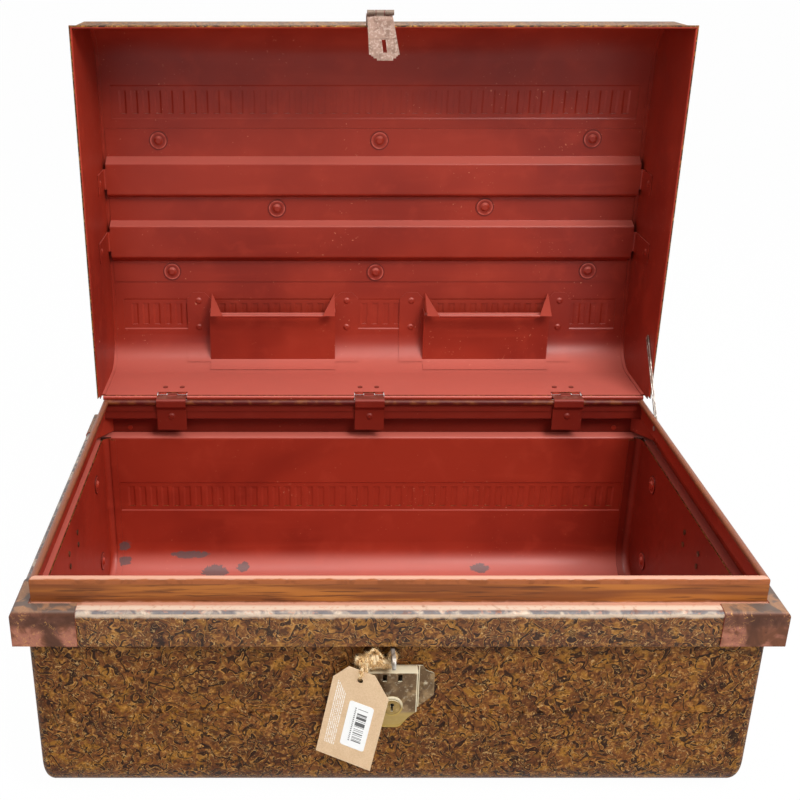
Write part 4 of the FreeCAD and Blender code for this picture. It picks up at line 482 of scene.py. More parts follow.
def rimPaint(name, mask, beadWear, beadOver, innerShade=None):
    # Wired bead, streaked neck, rubbed shoulder and scumbled skirt, red on the inner side, darkened with
    # painted shade where "innerShade" is given.
    finish = Finish(name)
    z = finish.part("Z", finish.spot)
    halfX, halfY = rimSet["neckHalf"]
    out = abs(finish.part("X", finish.spot)) - halfX
    out = out.reckon("MAXIMUM", abs(finish.part("Y", finish.spot)) - halfY)
    outside = finish.away((0, 0, 0), mask).between(*rimSet["turnSpan"])
    facesUp = finish.part("Z", finish.normal)
    brown, brownHeight = scumble(finish)
    red, redHeight, redRough = oxblood(finish)
    along = (rimSet["grainStretch"], 1, 1) if mask[1] else (1, rimSet["grainStretch"], 1)
    grain = finish.cloud(*rimSet["grainCloud"], along)
    slow = finish.cloud(*rimSet["slowCloud"], along)
    rub = finish.cloud(*rimSet["rubCloud"])
    neck = finish.lay(rimSet["oak"], slow, rimSet, "gold")
    neck = finish.lay(neck, grain, rimSet, "streak")
    neck = finish.mix((z + rub * rimSet["neckRagged"]).between(*rimSet["neckFoot"]), neck, rimSet["pink"])
    shoulder = finish.mix(out.between(*rimSet["beigeFrom"]), rimSet["pink"], rimSet["beige"])
    slate = out.between(*rimSet["slateFrom"]) * rub.between(*rimSet["slateLay"])
    shoulder = finish.mix(slate, shoulder, rimSet["slate"])
    fine = finish.cloud(*rimSet["fineCloud"]).between(*rimSet["fineLay"])
    shoulder = finish.mix(fine, shoulder, rimSet["pink"])
    shoulder = finish.lay(shoulder, rub, rimSet, "oak")
    skirtTop = (z + rub * rimSet["skirtRagged"]).between(*rimSet["skirtTop"])
    skirt = finish.mix(skirtTop, brown, rimSet["beige"])
    isShoulder = facesUp.between(*rimSet["shoulderUp"]) * z.between(*rimSet["shoulderBelow"])
    isSkirt = out.between(*rimSet["skirtFrom"])
    outer = finish.mix(isShoulder, finish.mix(isSkirt, neck, skirt), shoulder)
    isBead = z.between(*rimSet["beadAbove"])
    bead = finish.mix(rub.between(*rimSet["beadLay"]), beadOver, rimSet["oak"])
    # painted shade on the inner side of the moulding
    if innerShade:
        red = finish.mix(innerShade, red, redSet["shade"])
    colour = finish.mix(outside.reckon("MAXIMUM", isBead), red, finish.mix(isBead, outer, bead))
    worn = isBead * (facesUp + rub * rimSet["wearRagged"]).between(*rimSet["wearLay"])
    colour = finish.mix(worn * beadWear, colour, rimSet["beadWorn"])
    least, more = rimSet["roughness"]
    return finish.close(colour, blend(outside, redRough, least + rub * more),
                        blend(outside, redHeight, brownHeight * isSkirt + grain * rimSet["grainRelief"]),
                        rimSet["depth"], **rimSet["gloss"])


# rings on each washer by distance from its middle: "rim" and "seat" are painted shadow, "lip" a painted
# highlight
washerSet = {"reach": 0.030, "rim": (0.0104, 0.0113, 0.8), "lip": (0.0088, 0.0097, 0.0103, 0.0108),
             "seat": (0.0056, 0.0064, 0.0072, 0.0080), "lipCloud": (120, 2, 0.3), "lipLay": (0.3, 0.6),
             "lipHighlightStrength": 0.55, "seatShadowStrength": 0.45}


def middles(node, reach):
    # The middle of each solid of a node, whose solids are smaller than "reach" and lie further apart.
    groups = []
    for vertex in node.data.vertices:
        near = [group for group in groups if (vertex.co - group[0]).length < reach]
        if near:
            near[0].append(vertex.co)
        else:
            groups.append([vertex.co])
    return [sum(group, Vector()) / len(group) for group in groups]


def washerPaint(name, node):
    # Red washers with painted shadow round the edge and round the rivet, and a painted highlight just inside
    # the edge.
    finish = Finish(name)
    red, height, roughness = oxblood(finish)
    near = None
    for middle in middles(node, washerSet["reach"]):
        far = finish.vector("DISTANCE", finish.spot, middle)
        near = near.reckon("MINIMUM", far) if near else far
    # painted highlight just inside the washer's edge, broken up by a cloud
    lip = near.band(*washerSet["lip"]) * finish.cloud(*washerSet["lipCloud"]).between(*washerSet["lipLay"])
    red = finish.mix(lip * washerSet["lipHighlightStrength"], red, redSet["paintedSheen"])
    # painted shadow round the rivet's head
    red = finish.mix(near.band(*washerSet["seat"]) * washerSet["seatShadowStrength"], red, redSet["shade"])
    # painted shadow round the washer's edge
    red = finish.mix(near.between(*washerSet["rim"]), red, redSet["shade"])
    return finish.close(red, roughness, height, redSet["depth"], **redSet["gloss"])


capSet = {"brown": tint(112, 66, 42), "copper": tint(164, 104, 84), "dark": tint(70, 40, 26),
          "ochre": tint(206, 150, 84), "slate": tint(112, 100, 92), "tan": tint(168, 128, 98),
          "rubCloud": (48, 4, 0.8), "copperLay": (0.42, 0.60),
          "fineCloud": (330, 3, 0.2), "fineLay": (0.58, 0.70, 0.5),
          "darkCloud": (22, 3, 0.6, (0.4, 0.2, 0.9)), "darkLay": (0.52, 0.68, 0.8),
          "topRagged": 0.012, "topLay": (0.2130, 0.2210, 0.75),
          "nickCloud": (130, 2, 0.9), "nicks": 5, "nickHalf": (0.08, 0.02), "nickLay": (0.5, 0.6, 0.7),
          "edgeLay": (0.2245, 0.2270, 0.7), "tanLay": (0.45, 0.55), "turnSpan": (0, -0.05),
          "roughness": (0.36, 0.2), "relief": (0.6, 0.15), "depth": 0.0004,
          "gloss": {"Metallic": 0.25, "Specular_IOR_Level": 0.3}}


def capPaint(name):
    # Corner caps rubbed down to a pinkish copper, ochre on the edges.
    finish = Finish(name)
    rub, fine = finish.cloud(*capSet["rubCloud"]), finish.cloud(*capSet["fineCloud"])
    z = finish.part("Z", finish.spot)
    colour = finish.lay(capSet["brown"], rub, capSet, "copper")
    for mask in (finish.cloud(*capSet["darkCloud"]).between(*capSet["darkLay"]),
                 fine.between(*capSet["fineLay"]),
                 (z + rub * capSet["topRagged"]).between(*capSet["topLay"])):
        colour = finish.mix(mask, colour, capSet["dark"])
    nicks = finish.cloud(*capSet["nickCloud"]).lines(capSet["nicks"], capSet["nickHalf"])
    colour = finish.mix(nicks * rub.between(*capSet["nickLay"]), colour, capSet["ochre"])
    edge = finish.lay(capSet["slate"], rub, capSet, "tan")
    colour = finish.mix(z.between(*capSet["edgeLay"]), colour, edge)
    inward = finish.away((0, 0, 0), (1, 1, 0)).between(*capSet["turnSpan"])
    colour = finish.mix(inward, colour, redSet["red"])
    return finish.closeRubbed(colour, fine, weigh((rub, fine), capSet["relief"]), capSet)


haspSet = {"face": tint(170, 138, 122), "stain": tint(140, 110, 95), "bright": tint(206, 182, 168),
           "crease": tint(110, 82, 68), "knuckle": tint(92, 76, 62),
           "rubCloud": (110, 4, 0.5), "faceLay": (0.36, 0.56),
           "fineCloud": (420, 3), "brightLay": (0.50, 0.64, 0.6),
           "knuckleAbove": (0.7240, 0.7246), "knuckleFront": (0.2025, 0.2015), "knuckleStrength": 0.85,
           "gap": 0.0047, "gapHalf": (0.0007, 0.0003, 0.9),
           "creaseHeight": 0.7008, "creaseRagged": 0.0008, "creaseHalf": (0.0007, 0.0002, 0.5),
           "roughness": (0.40, 0.2), "depth": 0.0002, "gloss": {"Metallic": 0.35},
           "x": -0.0055, "outer": 0.1945, "pin": 0.728, "thick": 0.0012, "soften": 0.0003,
           "knuckleRadius": 0.003, "knuckleHole": 0.0016, "knuckleHalf": 0.0066, "knuckleShift": 0.0005,
           "shear": 0.148, "eye": 0.0045, "slot": (-0.0012, 0.0032, 0.0286, 0.0424),
           "half": [(0.0057, 0.0020), (0.0057, 0.0036), (0.0143, 0.0045), (0.0174, 0.0447), (0.0150, 0.0447),
                    (0.0150, 0.0463), (0.0128, 0.0463), (0.0128, 0.0485), (0.0092, 0.0485), (0.0092, 0.051)]}


def haspMetal(name, creased=False):
    # Coppery sheet, stained, with darker knuckles and painted shade in the gaps between them; the leaf has a
    # crease across it, drawn as a line of painted shade.
    finish = Finish(name)
    rub = finish.cloud(*haspSet["rubCloud"])
    x, y, z = (finish.part(letter, finish.spot) for letter in "XYZ")
    colour = finish.lay(haspSet["stain"], rub, haspSet, "face")
    colour = finish.lay(colour, finish.cloud(*haspSet["fineCloud"]), haspSet, "bright")
    knuckles = z.between(*haspSet["knuckleAbove"]) * y.between(*haspSet["knuckleFront"])
    colour = finish.mix(knuckles * haspSet["knuckleStrength"], colour, haspSet["knuckle"])
    # painted shade in the gaps between the knuckles
    gaps = abs(abs(x - haspSet["x"]) - haspSet["gap"]).between(*haspSet["gapHalf"])
    colour = finish.mix(gaps * knuckles, colour, redSet["shade"])
    if creased:
        # painted shade along the crease
        line = z + rub * haspSet["creaseRagged"] - haspSet["creaseHeight"]
        colour = finish.mix(abs(line).between(*haspSet["creaseHalf"]), colour, haspSet["crease"])
    return finish.closeRubbed(colour, rub, rub, haspSet)


lockSet = {"face": tint(150, 122, 86), "pale": tint(240, 228, 196), "patina": tint(98, 74, 48),
           "dark": tint(30, 20, 14), "gold": tint(190, 158, 78),
           "rubCloud": (85, 4, 0.6), "faceLay": (0.38, 0.66),
           "fineCloud": (380, 3), "paleLay": (0.56, 0.70, 0.2),
           "sideLay": (0.5, 0.9, 0.8), "footRagged": 0.003, "goldLay": (0.1195, 0.1120, 0.8),
           "topUp": (0.4, 0.8), "topStrength": 0.85, "metallic": (0.6, 0.5), "roughness": (0.30, 0.22),
           "relief": (0.5, 0.1), "depth": 0.00012,
           "x": -0.005, "z": 0.1235, "ring": (0.0090, 0.0108), "groove": (0.0074, 0.0083),
           "ringLit": (-0.003, 0.005), "ringSoft": 0.0002, "ringStrength": 0.7,
           "seam": 0.0187, "fold": 0.0031, "seamHalf": (0.0006, 0.0003, 0.8),
           "hole": 0.0022, "holeZ": 0.1262, "slotHalf": 0.0012, "slotFoot": 0.1190, "cutSoft": 0.0003,
           "plugGold": 0.4}


def keyhole(finish, x, z):
    # 1 in the round hole and in the slot below it, which are painted dark as shade.
    soft, rise = lockSet["cutSoft"], z - lockSet["holeZ"]
    hole = (x * x + rise * rise).reckon("SQRT").between(lockSet["hole"], lockSet["hole"] - soft)
    slot = abs(x).between(lockSet["slotHalf"], lockSet["slotHalf"] - soft)
    slot = slot * z.between(lockSet["slotFoot"], lockSet["slotFoot"] + soft) * rise.between(soft, 0)
    return hole.reckon("MAXIMUM", slot)


def brassMetal(name, plugged=False):
    # Lacquered brass gone grey, golden towards the foot of the lock, with painted highlights on its sides,
    # top, ring and fold, and painted shade in its groove and keyhole.
    finish = Finish(name)
    rub, fine = finish.cloud(*lockSet["rubCloud"]), finish.cloud(*lockSet["fineCloud"])
    colour = finish.lay(lockSet["patina"], rub, lockSet, "face")
    # painted highlight: faces that look sideways are pale
    sides = abs(finish.part("X", finish.normal)).between(*lockSet["sideLay"])
    colour = finish.mix(sides, colour, lockSet["pale"])
    colour = finish.lay(colour, fine, lockSet, "pale")
    across, z = finish.part("X", finish.spot), finish.part("Z", finish.spot)
    colour = finish.lay(colour, z + rub * lockSet["footRagged"], lockSet, "gold")
    x, up, soft = across - lockSet["x"], z - lockSet["z"], lockSet["ringSoft"]
    reach = (x * x + up * up).reckon("SQRT")
    # painted highlight on the ring's upper half; painted shade in the groove
    lit = finish.mix(up.between(*lockSet["ringLit"]), lockSet["gold"], lockSet["pale"])
    for (near, far), shade in ((lockSet["ring"], lit), (lockSet["groove"], lockSet["dark"])):
        ring = reach.band(near - soft, near + soft, far - soft, far + soft)
        colour = finish.mix(ring * lockSet["ringStrength"], colour, shade)
    # painted highlight: pale lines along the fold of the case
    past = across - lockSet["seam"]
    seam = abs(past).reckon("MINIMUM", abs(past - lockSet["fold"])).between(*lockSet["seamHalf"])
    colour = finish.mix(seam, colour, lockSet["pale"])
    if plugged:
        golden = finish.mix(lockSet["plugGold"], colour, lockSet["gold"])
        # painted shade in the keyhole
        colour = finish.mix(keyhole(finish, x, z), golden, lockSet["dark"])
    # painted highlight: faces that look up are pale
    top = finish.part("Z", finish.normal).between(*lockSet["topUp"])
    colour = finish.mix(top * lockSet["topStrength"], colour, lockSet["pale"])
    (least, more), (metal, less) = lockSet["roughness"], lockSet["metallic"]
    return finish.close(colour, least + rub * more, weigh((rub, fine), lockSet["relief"]), lockSet["depth"],
                        Metallic=metal - top * less)


steelSet = {"face": tint(196, 190, 180), "dull": tint(120, 108, 96), "rust": tint(112, 66, 36),
            "rubCloud": (120, 4, 0.4), "faceLay": (0.40, 0.62), "rustCloud": (60, 4, 0.7, (0.1, 0.6, 0.2)),
            "rustSpan": (0.62, 0.74), "rustStrength": 0.8, "wireRust": 0.12, "roughness": (0.32, 0.25),
            "depth": 0.0002, "gloss": {"Metallic": 0.75}}


def steelMetal(name, rusty=0.0):
    # Bare steel, dull in places and rusty where "rusty" is larger.
    finish = Finish(name)
    rub = finish.cloud(*steelSet["rubCloud"])
    colour = finish.lay(steelSet["dull"], rub, steelSet, "face")
    start, full = [level - rusty for level in steelSet["rustSpan"]]
    rust = finish.cloud(*steelSet["rustCloud"]).between(start, full, steelSet["rustStrength"])
    colour = finish.mix(rust, colour, steelSet["rust"])
    return finish.closeRubbed(colour, rub, rub, steelSet)


ironSet = {"paint": tint(70, 44, 27), "worn": tint(122, 100, 82), "ochre": tint(132, 88, 44),
           "rubCloud": (65, 4, 0.6), "wornLay": (0.56, 0.68, 0.85),
           "ochreCloud": (140, 3, 0.8), "ochreLay": (0.45, 0.62, 0.5),
           "roughness": (0.38, 0.15), "depth": 0.0003, "gloss": {"Metallic": 0.3}}


def ironPaint(name):
    # Handles: brown paint over iron, bright where hands rub it.
    finish = Finish(name)
    rub = finish.cloud(*ironSet["rubCloud"])
    colour = finish.lay(ironSet["paint"], finish.cloud(*ironSet["ochreCloud"]), ironSet, "ochre")
    colour = finish.lay(colour, rub, ironSet, "worn")
    return finish.closeRubbed(colour, rub, rub, ironSet)


# "shade" is the share of painted shade on the red side of the hinge plates
hingeSet = {"behind": (-0.1, 0.3), "rubCloud": (120, 3, 0.4), "wornLay": (0.5, 0.62), "shade": 0.6,
            "depth": 0.0003, "gloss": 0.2}


def hingePaint(name):
    # Hinge plates: red with painted shade towards the inside of the trunk, brown behind.
    finish = Finish(name)
    red, height, roughness = oxblood(finish)
    behind = finish.part("Y", finish.normal).between(*hingeSet["behind"])
    rub = finish.cloud(*hingeSet["rubCloud"]).between(*hingeSet["wornLay"])
    brown = finish.mix(rub, ironSet["paint"], ironSet["worn"])
    # painted shade: the red side is mixed towards the dark shade colour
    colour = finish.mix(behind, finish.mix(hingeSet["shade"], red, redSet["shade"]), brown)
    return finish.close(colour, roughness, height, hingeSet["depth"], Specular_IOR_Level=hingeSet["gloss"])


# card, label and twine
tagSet = {"corner": (-0.07805, -0.2305, 0.0596), "across": (0.926, -0.330, -0.182),
          "up": (0.181, -0.034, 0.983), "card": tint(226, 194, 156), "cardDark": tint(206, 170, 130),
          "ink": tint(250, 244, 236), "pulpCloud": (700, 4, 0.2), "pulpLay": (0.35, 0.70, 0.5),
          "softCloud": (60, 3, 0.3), "softLay": (0.45, 0.7, 0.25), "roughness": 0.82, "depth": 0.00012,
          "rows": 546, "rowHalf": (0.28, 0.20), "rowShift": 3.7, "strokes": 900, "strokeLay": (0.38, 0.44),
          "block": (0.0052, 0.0054, 0.0164, 0.0166), "blockFoot": (0.015, 0.0155), "cornerSlope": 1.4,
          "cornerCut": (0.1035, 0.1025), "inkStrength": 0.9}
labelSet = {"white": tint(246, 246, 244), "black": tint(30, 28, 28), "corner": (0.0215, 0.0197),
            "size": (0.025, 0.0557), "round": 0.003, "soft": 0.0001,
            "bars": 1500, "barLay": (0.50, 0.52), "barLength": (0.0262, 0.0263, 0.0691, 0.0692),
            "barWidth": (0.0315, 0.0316, 0.0415, 0.0416), "ticks": 420, "tickLay": (0.42, 0.46),
            "tickWidth": (0.0284, 0.0285, 0.0298, 0.0299), "inkStrength": 0.9, "roughness": 0.55,
            "pulpCloud": (600, 2), "depth": 0.00005}
juteSet = {"dark": tint(150, 100, 50), "pale": tint(232, 196, 138), "white": tint(250, 232, 194),
           "plyCloud": (900, 2, 0.6), "paleLay": (0.40, 0.56), "patchCloud": (160, 3, 0.4),
           "whiteLay": (0.48, 0.62, 0.6), "roughness": 0.85, "depth": 0.0004}


def tagPlace(finish):
    # Places on the card, in metres from its lower left corner.
    arm = finish.vector("SUBTRACT", finish.spot, tagSet["corner"])
    return [finish.vector("DOT_PRODUCT", arm, tagSet[way]) for way in ("across", "up")]


def cardPaper():
    # Brown card with a block of pale short strokes in rows.
    finish = Finish("kraftCard")
    across, up = tagPlace(finish)
    pulp, soft = finish.cloud(*tagSet["pulpCloud"]), finish.cloud(*tagSet["softCloud"])
    colour = finish.mix(pulp.between(*tagSet["pulpLay"]) + soft.between(*tagSet["softLay"]), tagSet["card"],
                        tagSet["cardDark"])
    rows = across.lines(tagSet["rows"], tagSet["rowHalf"])
    where = finish.node("ShaderNodeCombineXYZ", None, {
        0: (across * tagSet["rows"]).reckon("FLOOR") * tagSet["rowShift"], 1: up * tagSet["strokes"]})
    strokes = finish.node("ShaderNodeTexNoise", {"noise_dimensions": "2D"},
                          {"Vector": where, "Scale": 1.0, "Detail": 1.0}).between(*tagSet["strokeLay"])
    block = across.band(*tagSet["block"]) * up.between(*tagSet["blockFoot"])
    block = block * (up + across * tagSet["cornerSlope"]).between(*tagSet["cornerCut"])
    colour = finish.mix(rows * strokes * block * tagSet["inkStrength"], colour, tagSet["ink"])
    return finish.close(colour, tagSet["roughness"], pulp, tagSet["depth"])


def labelPaper():
    # A white label with rounded corners and a plain run of bars.
    finish = Finish("whiteLabel")
    across, up = tagPlace(finish)
    beyond = []
    for along, start, size in zip((across, up), labelSet["corner"], labelSet["size"]):
        past = abs(along - (start + size / 2)) - (size / 2 - labelSet["round"])
        beyond.append(past.reckon("MAXIMUM", 0.0))
    corner = (beyond[0] * beyond[0] + beyond[1] * beyond[1]).reckon("SQRT")
    cut = corner.between(labelSet["round"] - labelSet["soft"], labelSet["round"] + labelSet["soft"])
    bars = finish.node("ShaderNodeTexWhiteNoise", {"noise_dimensions": "1D"},
                       {"W": (up * labelSet["bars"]).reckon("FLOOR")}).between(*labelSet["barLay"])
    lengthwise = up.band(*labelSet["barLength"])
    bars = bars * lengthwise * across.band(*labelSet["barWidth"])
    ticks = (up * labelSet["ticks"]).reckon("FRACT").between(*labelSet["tickLay"])
    ticks = ticks * lengthwise * across.band(*labelSet["tickWidth"])
    colour = finish.mix(bars.reckon("MAXIMUM", ticks) * labelSet["inkStrength"], labelSet["white"],
                        labelSet["black"])
    colour = finish.mix(cut, colour, tagSet["card"])
    pulp = finish.cloud(*labelSet["pulpCloud"])
    return finish.close(colour, labelSet["roughness"], pulp, labelSet["depth"])


def twineJute():
    # Jute, darker and paler by a fine cloud: partly the jute's own colour, partly painted shade and painted
    # highlight on its plies.
    finish = Finish("juteTwine")
    ply, patch = finish.cloud(*juteSet["plyCloud"]), finish.cloud(*juteSet["patchCloud"])
    colour = finish.lay(juteSet["dark"], ply, juteSet, "pale")
    colour = finish.lay(colour, patch, juteSet, "white")
    return finish.close(colour, juteSet["roughness"], ply, juteSet["depth"])


def paint(material, *names):
    for name in names:
        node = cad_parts[name]
        for slot in node.material_slots:
            slot.material = material
        if not node.material_slots:
            node.data.materials.append(material)


def dress(piece, material):
    piece.data.materials.clear()
    piece.data.materials.append(material)


lookY, lookX = (0, 1, 0), (1, 0, 0)  # the way the sides of the moulding look
paint(shellPaint("bodyWrapPaint", wrapOutside, bodySheet, barePatches, shellSet["plainBelow"]), "body_wrap")
paint(shellPaint("lidWrapPaint", wrapOutside, lidSheet), "lid_wrap")
paint(shellPaint("endPaint", endOutside, bodySheet, barePatches), "body_end_left", "end_wall_rivets")
paint(shellPaint("lidEndPaint", endOutside, lidSheet), "lid_end_left", "lid_end_right")
# the right end wall's inside gets painted shade, darker than the left
paint(shellPaint("shadedEndPaint", endOutside, bodySheet, shade=shellSet["dull"]), "body_end_right")
paint(rimPaint("frontRimPaint", lookY, rimSet["frontWear"], rimSet["beadRed"]), "rim_front")
# the back rim's inner side and its bead are painted dark as shade
paint(rimPaint("backRimPaint", lookY, rimSet["backWear"], redSet["shade"], rimSet["backShade"]), "rim_back")
paint(rimPaint("endRimPaint", lookX, rimSet["endWear"], rimSet["beadBrown"]), "rim_left", "rim_right")
paint(redPaint("insideRed"), "lid_stiffener", "pocket_left", "pocket_right", "corner_gussets",
      "tab_rivets")
paint(shellPaint("rivetPaint", rivetOutside, lidSheet), "stiffener_rivets", "pocket_rivets")
for washers in ("stiffener_washers", "end_wall_washers"):
    paint(washerPaint(washers + "_red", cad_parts[washers]), washers)
paint(capPaint("rubbedCaps"), "corner_cap_fl", "corner_cap_fr", "corner_cap_bl", "corner_cap_br",
      "corner_rivets")
paint(haspMetal("haspPlateMetal"), "hasp_plate", "hasp_rivets", "hasp_pin")
leafMetal = haspMetal("haspLeafMetal", creased=True)
paint(brassMetal("greyBrass"), "lock_plate", "lock_case", "lock_rivets")
paint(brassMetal("plugBrass", plugged=True), "lock_plug")
paint(steelMetal("brightStaple"), "staple", "lock_bolt", "stay_arm", "stay_stud_body", "stay_stud_lid")
paint(steelMetal("rustyWire", steelSet["wireRust"]), "rim_wire", "lid_rim_wire")
paint(ironPaint("handleIron"), "handle_plate_left", "handle_plate_right", "handle_bail_left",
      "handle_bail_right", "handle_rivets")
paint(hingePaint("hingePaint"), "hinge_strap_left", "hinge_strap_middle", "hinge_strap_right",
      "hinge_leaf_left", "hinge_leaf_middle", "hinge_leaf_right", "hinge_pins", "hinge_rivets_body",
      "hinge_rivets_lid")
paint(cardPaper(), "tag")
paint(labelPaper(), "tag_label")
rollRed, foldRed = redPaint("rollRed"), redPaint("foldRed", redSet["red"])
jute = twineJute()
print("finishes painted")


# leaf of the hasp
def flatPiece(name, outlines, thick, soften, place):
    # Closed outlines in X and Z, given depth along Y and softened edges.
    line = bpy.data.curves.new(name, "CURVE")
    line.dimensions, line.fill_mode = "2D", "BOTH"
    for outline in outlines:
        spline = line.splines.new("POLY")
        spline.points.add(len(outline) - 1)
        for spot, (x, z) in zip(spline.points, outline):
            spot.co = (x, z, 0, 1)
        spline.use_cyclic_u = True
    line.extrude, line.bevel_depth, line.bevel_resolution = thick / 2 - soften, soften, 1
    line.offset = -soften
    piece = meshOf(linkObject(name, line))
    piece.data.transform(Matrix.Translation(place) @ Matrix.Rotation(math.radians(90), 4, "X"))
    return piece


def rollAlong(name, start, end, radius, hole=0.0):
    # A straight tube from "start" to "end", open through the middle where it has a hole.
    line = bpy.data.curves.new(name, "CURVE")
    line.dimensions, line.fill_mode = "2D", "BOTH"
    for size in (radius, hole) if hole else (radius,):
        spline = line.splines.new("BEZIER")
        spline.bezier_points.add(3)
        for index, spot in enumerate(spline.bezier_points):
            turn = index * math.pi / 2
            spot.co = (size * math.cos(turn), size * math.sin(turn), 0)
            spot.handle_left_type = spot.handle_right_type = "AUTO"
        spline.use_cyclic_u = True
        spline.resolution_u = 8
    span = Vector(end) - Vector(start)
    line.extrude = span.length / 2
    piece = meshOf(linkObject(name, line))
    piece.data.transform(Matrix.Translation((Vector(start) + Vector(end)) / 2)
                         @ span.to_track_quat("Z", "Y").to_matrix().to_4x4())
    return piece


def askew(points):
    # The leaf hangs a little to one side: places below its eye are moved across.
    return [(x + haspSet["shear"] * (down - haspSet["eye"]), -down) for x, down in points]


def haspLeaf():
    left, right, low, high = haspSet["slot"]
    half = haspSet["half"]
    outer = askew(half + [(-x, down) for x, down in reversed(half)])
    slot = askew([(left, low), (right, low), (right, high), (left, high)])
    middle = haspSet["outer"] + haspSet["thick"] / 2
    flat = flatPiece("haspLeaf", [outer, slot], haspSet["thick"], haspSet["soften"],
                     (haspSet["x"], middle, haspSet["pin"]))
    centre = Vector((haspSet["x"] + haspSet["knuckleShift"], haspSet["outer"] + haspSet["knuckleRadius"],
                     haspSet["pin"]))
    reach = Vector((haspSet["knuckleHalf"], 0, 0))
    knuckle = rollAlong("haspKnuckle", centre - reach, centre + reach, haspSet["knuckleRadius"],
                        haspSet["knuckleHole"])
    return joined("haspLeaf", [flat, knuckle])


leaf = haspLeaf()
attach(leaf, "hasp")
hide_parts("hasp_leaf")
dress(leaf, leafMetal)

# rolled edge at the foot of the lid's back, and the lips of the hinge straps under it
rollSet = {"y": 0.2308, "z": 0.2522, "radius": 0.0033, "end": 0.3515, "hinges": (-0.262, -0.005, 0.252),
           "hingeHalf": 0.0195}
rolls = []
edge = -rollSet["end"]
for hinge in rollSet["hinges"] + (rollSet["end"] + rollSet["hingeHalf"],):
    stop = hinge - rollSet["hingeHalf"]
    rolls.append(rollAlong("roll", (edge, rollSet["y"], rollSet["z"]), (stop, rollSet["y"], rollSet["z"]),
                           rollSet["radius"]))
    edge = hinge + rollSet["hingeHalf"]
lidRoll = joined("lidBackRoll", rolls)
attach(lidRoll, "lid")
dress(lidRoll, rollRed)

lipSet = {"near": 0.0074, "far": 0.0187, "y": 0.23625, "deep": 0.0065, "z": 0.2555, "thick": 0.0006,
          "soften": 0.0001}
lips = []
for hinge in rollSet["hinges"]:
    for near, far in ((lipSet["near"], lipSet["far"]), (-lipSet["far"], -lipSet["near"])):
        face = [(near, 0), (far, 0), (far, lipSet["thick"]), (near, lipSet["thick"])]
        lips.append(flatPiece("lip", [face], lipSet["deep"], lipSet["soften"],
                              (hinge, lipSet["y"], lipSet["z"])))
hingeLips = joined("hingeLips", lips)
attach(hingeLips, "trunk_body")

# folded corners and rolled mouth of each pocket
pocketSet = {"spans": ((-0.2160, -0.0485), (0.0755, 0.2430)), "front": 0.3168, "mouth": 0.3350,
             "inset": 0.0165, "back": 0.3535, "top": 0.3562, "bead": 0.0019, "thick": 0.0008,
             "faces": [(0, 1, 2), (5, 4, 3), (0, 3, 4, 1), (1, 4, 5, 2), (2, 5, 3, 0)]}
folds, mouths = [], []
for left, right in pocketSet["spans"]:
    starts, stops = left + pocketSet["inset"], right - pocketSet["inset"]
    for corner, inner in ((left, starts), (right, stops)):
        near, far = (pocketSet["front"], pocketSet["mouth"]), (pocketSet["back"], pocketSet["top"])
        face = [(inner, *near), (corner, *near), (corner, *far)]
        behind = [(x, y + pocketSet["thick"], z) for x, y, z in face]
        fold = bpy.data.meshes.new("fold")
        fold.from_pydata(face + behind, [], pocketSet["faces"])
        folds.append(linkObject("fold", fold))
    mouths.append(rollAlong("mouth", (starts, *near), (stops, *near), pocketSet["bead"]))
pocketFolds, pocketMouths = joined("pocketFolds", folds), joined("pocketMouths", mouths)
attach(pocketFolds, "lid")
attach(pocketMouths, "lid")
for piece, finish in ((hingeLips, foldRed), (pocketFolds, foldRed), (pocketMouths, rollRed)):
    dress(piece, finish)
print("hasp leaf, rolled edge, hinge lips and pocket corners made")


# loose fibres standing out of the twine
fibreSet = {"Fibres per square metre": 1500000.0, "Fibre length": 0.0052, "Fibre radius": 0.00009,
            "Shortest": 0.3, "Seed": 7}
fibreTilt = Vector((1.25, 1.25, 3.1))


def fibreTree():
    tree = bpy.data.node_groups.new("looseFibres", "GeometryNodeTree")
    tree.interface.new_socket("Twine", in_out="INPUT", socket_type="NodeSocketGeometry")
    for label, value in fibreSet.items():
        kind = "NodeSocketInt" if isinstance(value, int) else "NodeSocketFloat"
        tree.interface.new_socket(label, in_out="INPUT", socket_type=kind)
    tree.interface.new_socket("Fibres", in_out="OUTPUT", socket_type="NodeSocketGeometry")
    wiring = Wiring(tree)
    twine, count, length, radius, shortest, seed = [
        wiring.node("NodeGroupInput", out=label) for label in ("Twine", *fibreSet)]
    points = wiring.node("GeometryNodeDistributePointsOnFaces", None,
                         {"Mesh": twine, "Density": count, "Seed": seed}, "Points")
    fibre = wiring.node("GeometryNodeMeshCone", {"fill_type": "NGON"},
                        {"Vertices": 3, "Radius Bottom": radius, "Depth": length})
    spin = wiring.node("FunctionNodeRandomValue", {"data_type": "FLOAT_VECTOR"},
                       {"Min": -fibreTilt, "Max": fibreTilt, "Seed": seed})
    size = wiring.node("FunctionNodeRandomValue", {"data_type": "FLOAT"},
                       {2: shortest, 3: 1.0, "Seed": seed}, 1)
    turn = wiring.node("FunctionNodeEulerToRotation", None, {0: spin})
    lean = wiring.node("FunctionNodeRotateRotation", None, {0: points.also("Rotation"), 1: turn})
    placed = wiring.node("GeometryNodeInstanceOnPoints", None,
                         {"Points": points, "Instance": fibre, "Rotation": lean, "Scale": size})
    real = wiring.node("GeometryNodeRealizeInstances", None, {"Geometry": placed})
    dressed = wiring.node("GeometryNodeSetMaterial", None, {"Geometry": real, "Material": jute})
    wiring.node("NodeGroupOutput", None, {"Fibres": dressed})
    return tree


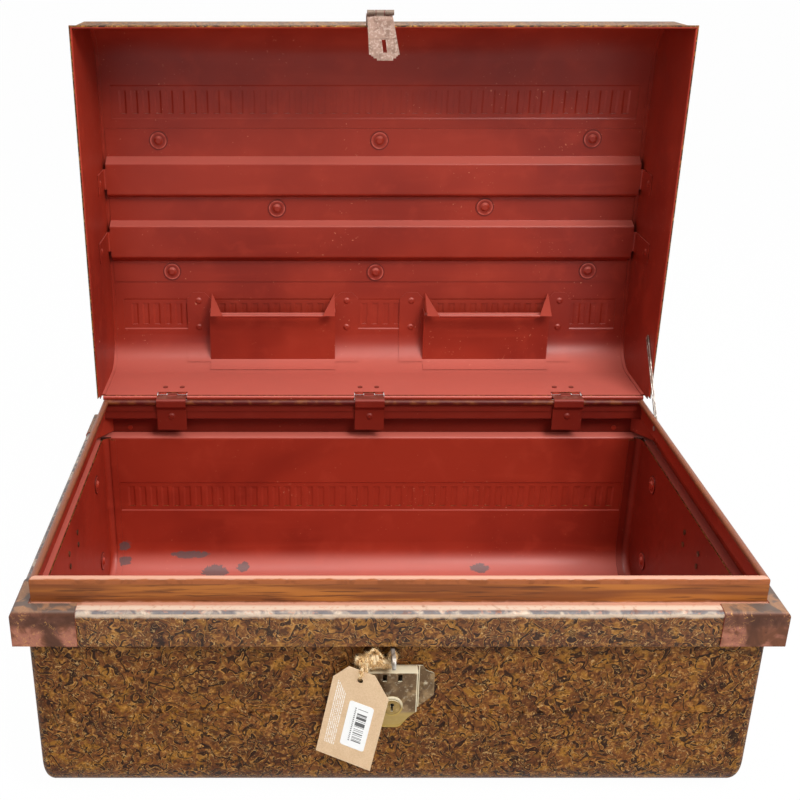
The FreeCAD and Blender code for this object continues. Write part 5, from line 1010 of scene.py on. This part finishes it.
def grown(name, source, tree, sizes):
    # The tree's result on a copy of "source", as a plain mesh object.
    helper = linkObject(name + "Source", source.data.copy())
    modifier = helper.modifiers.new(name, "NODES")
    modifier.node_group = tree
    for socket in tree.interface.items_tree:
        if socket.name in sizes:
            modifier[socket.identifier] = sizes[socket.name]
    found = bpy.context.evaluated_depsgraph_get()
    mesh = bpy.data.meshes.new_from_object(helper.evaluated_get(found))
    helper.modifiers.remove(modifier)
    bpy.data.objects.remove(helper)
    return linkObject(name, mesh)


fibres = grown("looseFibres", bundle, fibreTree(), fibreSet)
print("fibres", len(fibres.data.polygons))
for piece in (tagTwine, bundle, fibres):
    dress(piece, jute)
    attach(piece, "trunk_body")
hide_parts("twine_knot")
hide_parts("twine")


# floor and world: white to the camera and in reflections, dimmer as light
stageSet = {"reach": 30.0, "floor": -0.0006, "floorSeen": 0.985, "world": 0.40,
            "grey": (0.86, 0.86, 0.86, 1), "white": (1, 1, 1, 1)}


def seenDirectly(wiring):
    # 1 for what the camera sees, also by way of glossy and clear surfaces.
    seen = wiring.node("ShaderNodeLightPath", out="Is Camera Ray")
    for ray in ("Is Glossy Ray", "Is Transmission Ray"):
        seen = seen.reckon("MAXIMUM", wiring.node("ShaderNodeLightPath", out=ray))
    return seen


def stageFloor():
    mesh = bpy.data.meshes.new("studioFloor")
    corners = [(x * stageSet["reach"], y * stageSet["reach"], stageSet["floor"])
               for x, y in ((-1, -1), (1, -1), (1, 1), (-1, 1))]
    mesh.from_pydata(corners, [], [(0, 1, 2, 3)])
    floor = linkObject("studioFloor", mesh)
    finish = Finish("studioFloor")
    seen = seenDirectly(finish) * stageSet["floorSeen"]
    matt = finish.node("ShaderNodeBsdfDiffuse", None, {"Color": stageSet["grey"]})
    glow = finish.node("ShaderNodeEmission", None, {"Color": stageSet["white"], "Strength": 1.0})
    surface = finish.node("ShaderNodeMixShader", None, {0: seen, 1: matt, 2: glow})
    finish.node("ShaderNodeOutputMaterial", None, {"Surface": surface})
    mesh.materials.append(finish.material)


def studioWorld():
    world = bpy.data.worlds.new("studio")
    bpy.context.scene.world = world
    world.use_nodes = True
    wiring = Wiring(world.node_tree)
    dim, bright = [wiring.node("ShaderNodeBackground", None, {"Color": stageSet["white"], "Strength": power})
                   for power in (stageSet["world"], 1.0)]
    surface = wiring.node("ShaderNodeMixShader", None, {0: seenDirectly(wiring), 1: dim, 2: bright})
    wiring.node("ShaderNodeOutputWorld", None, {"Surface": surface})


stageFloor()
studioWorld()
print("floor and world set")
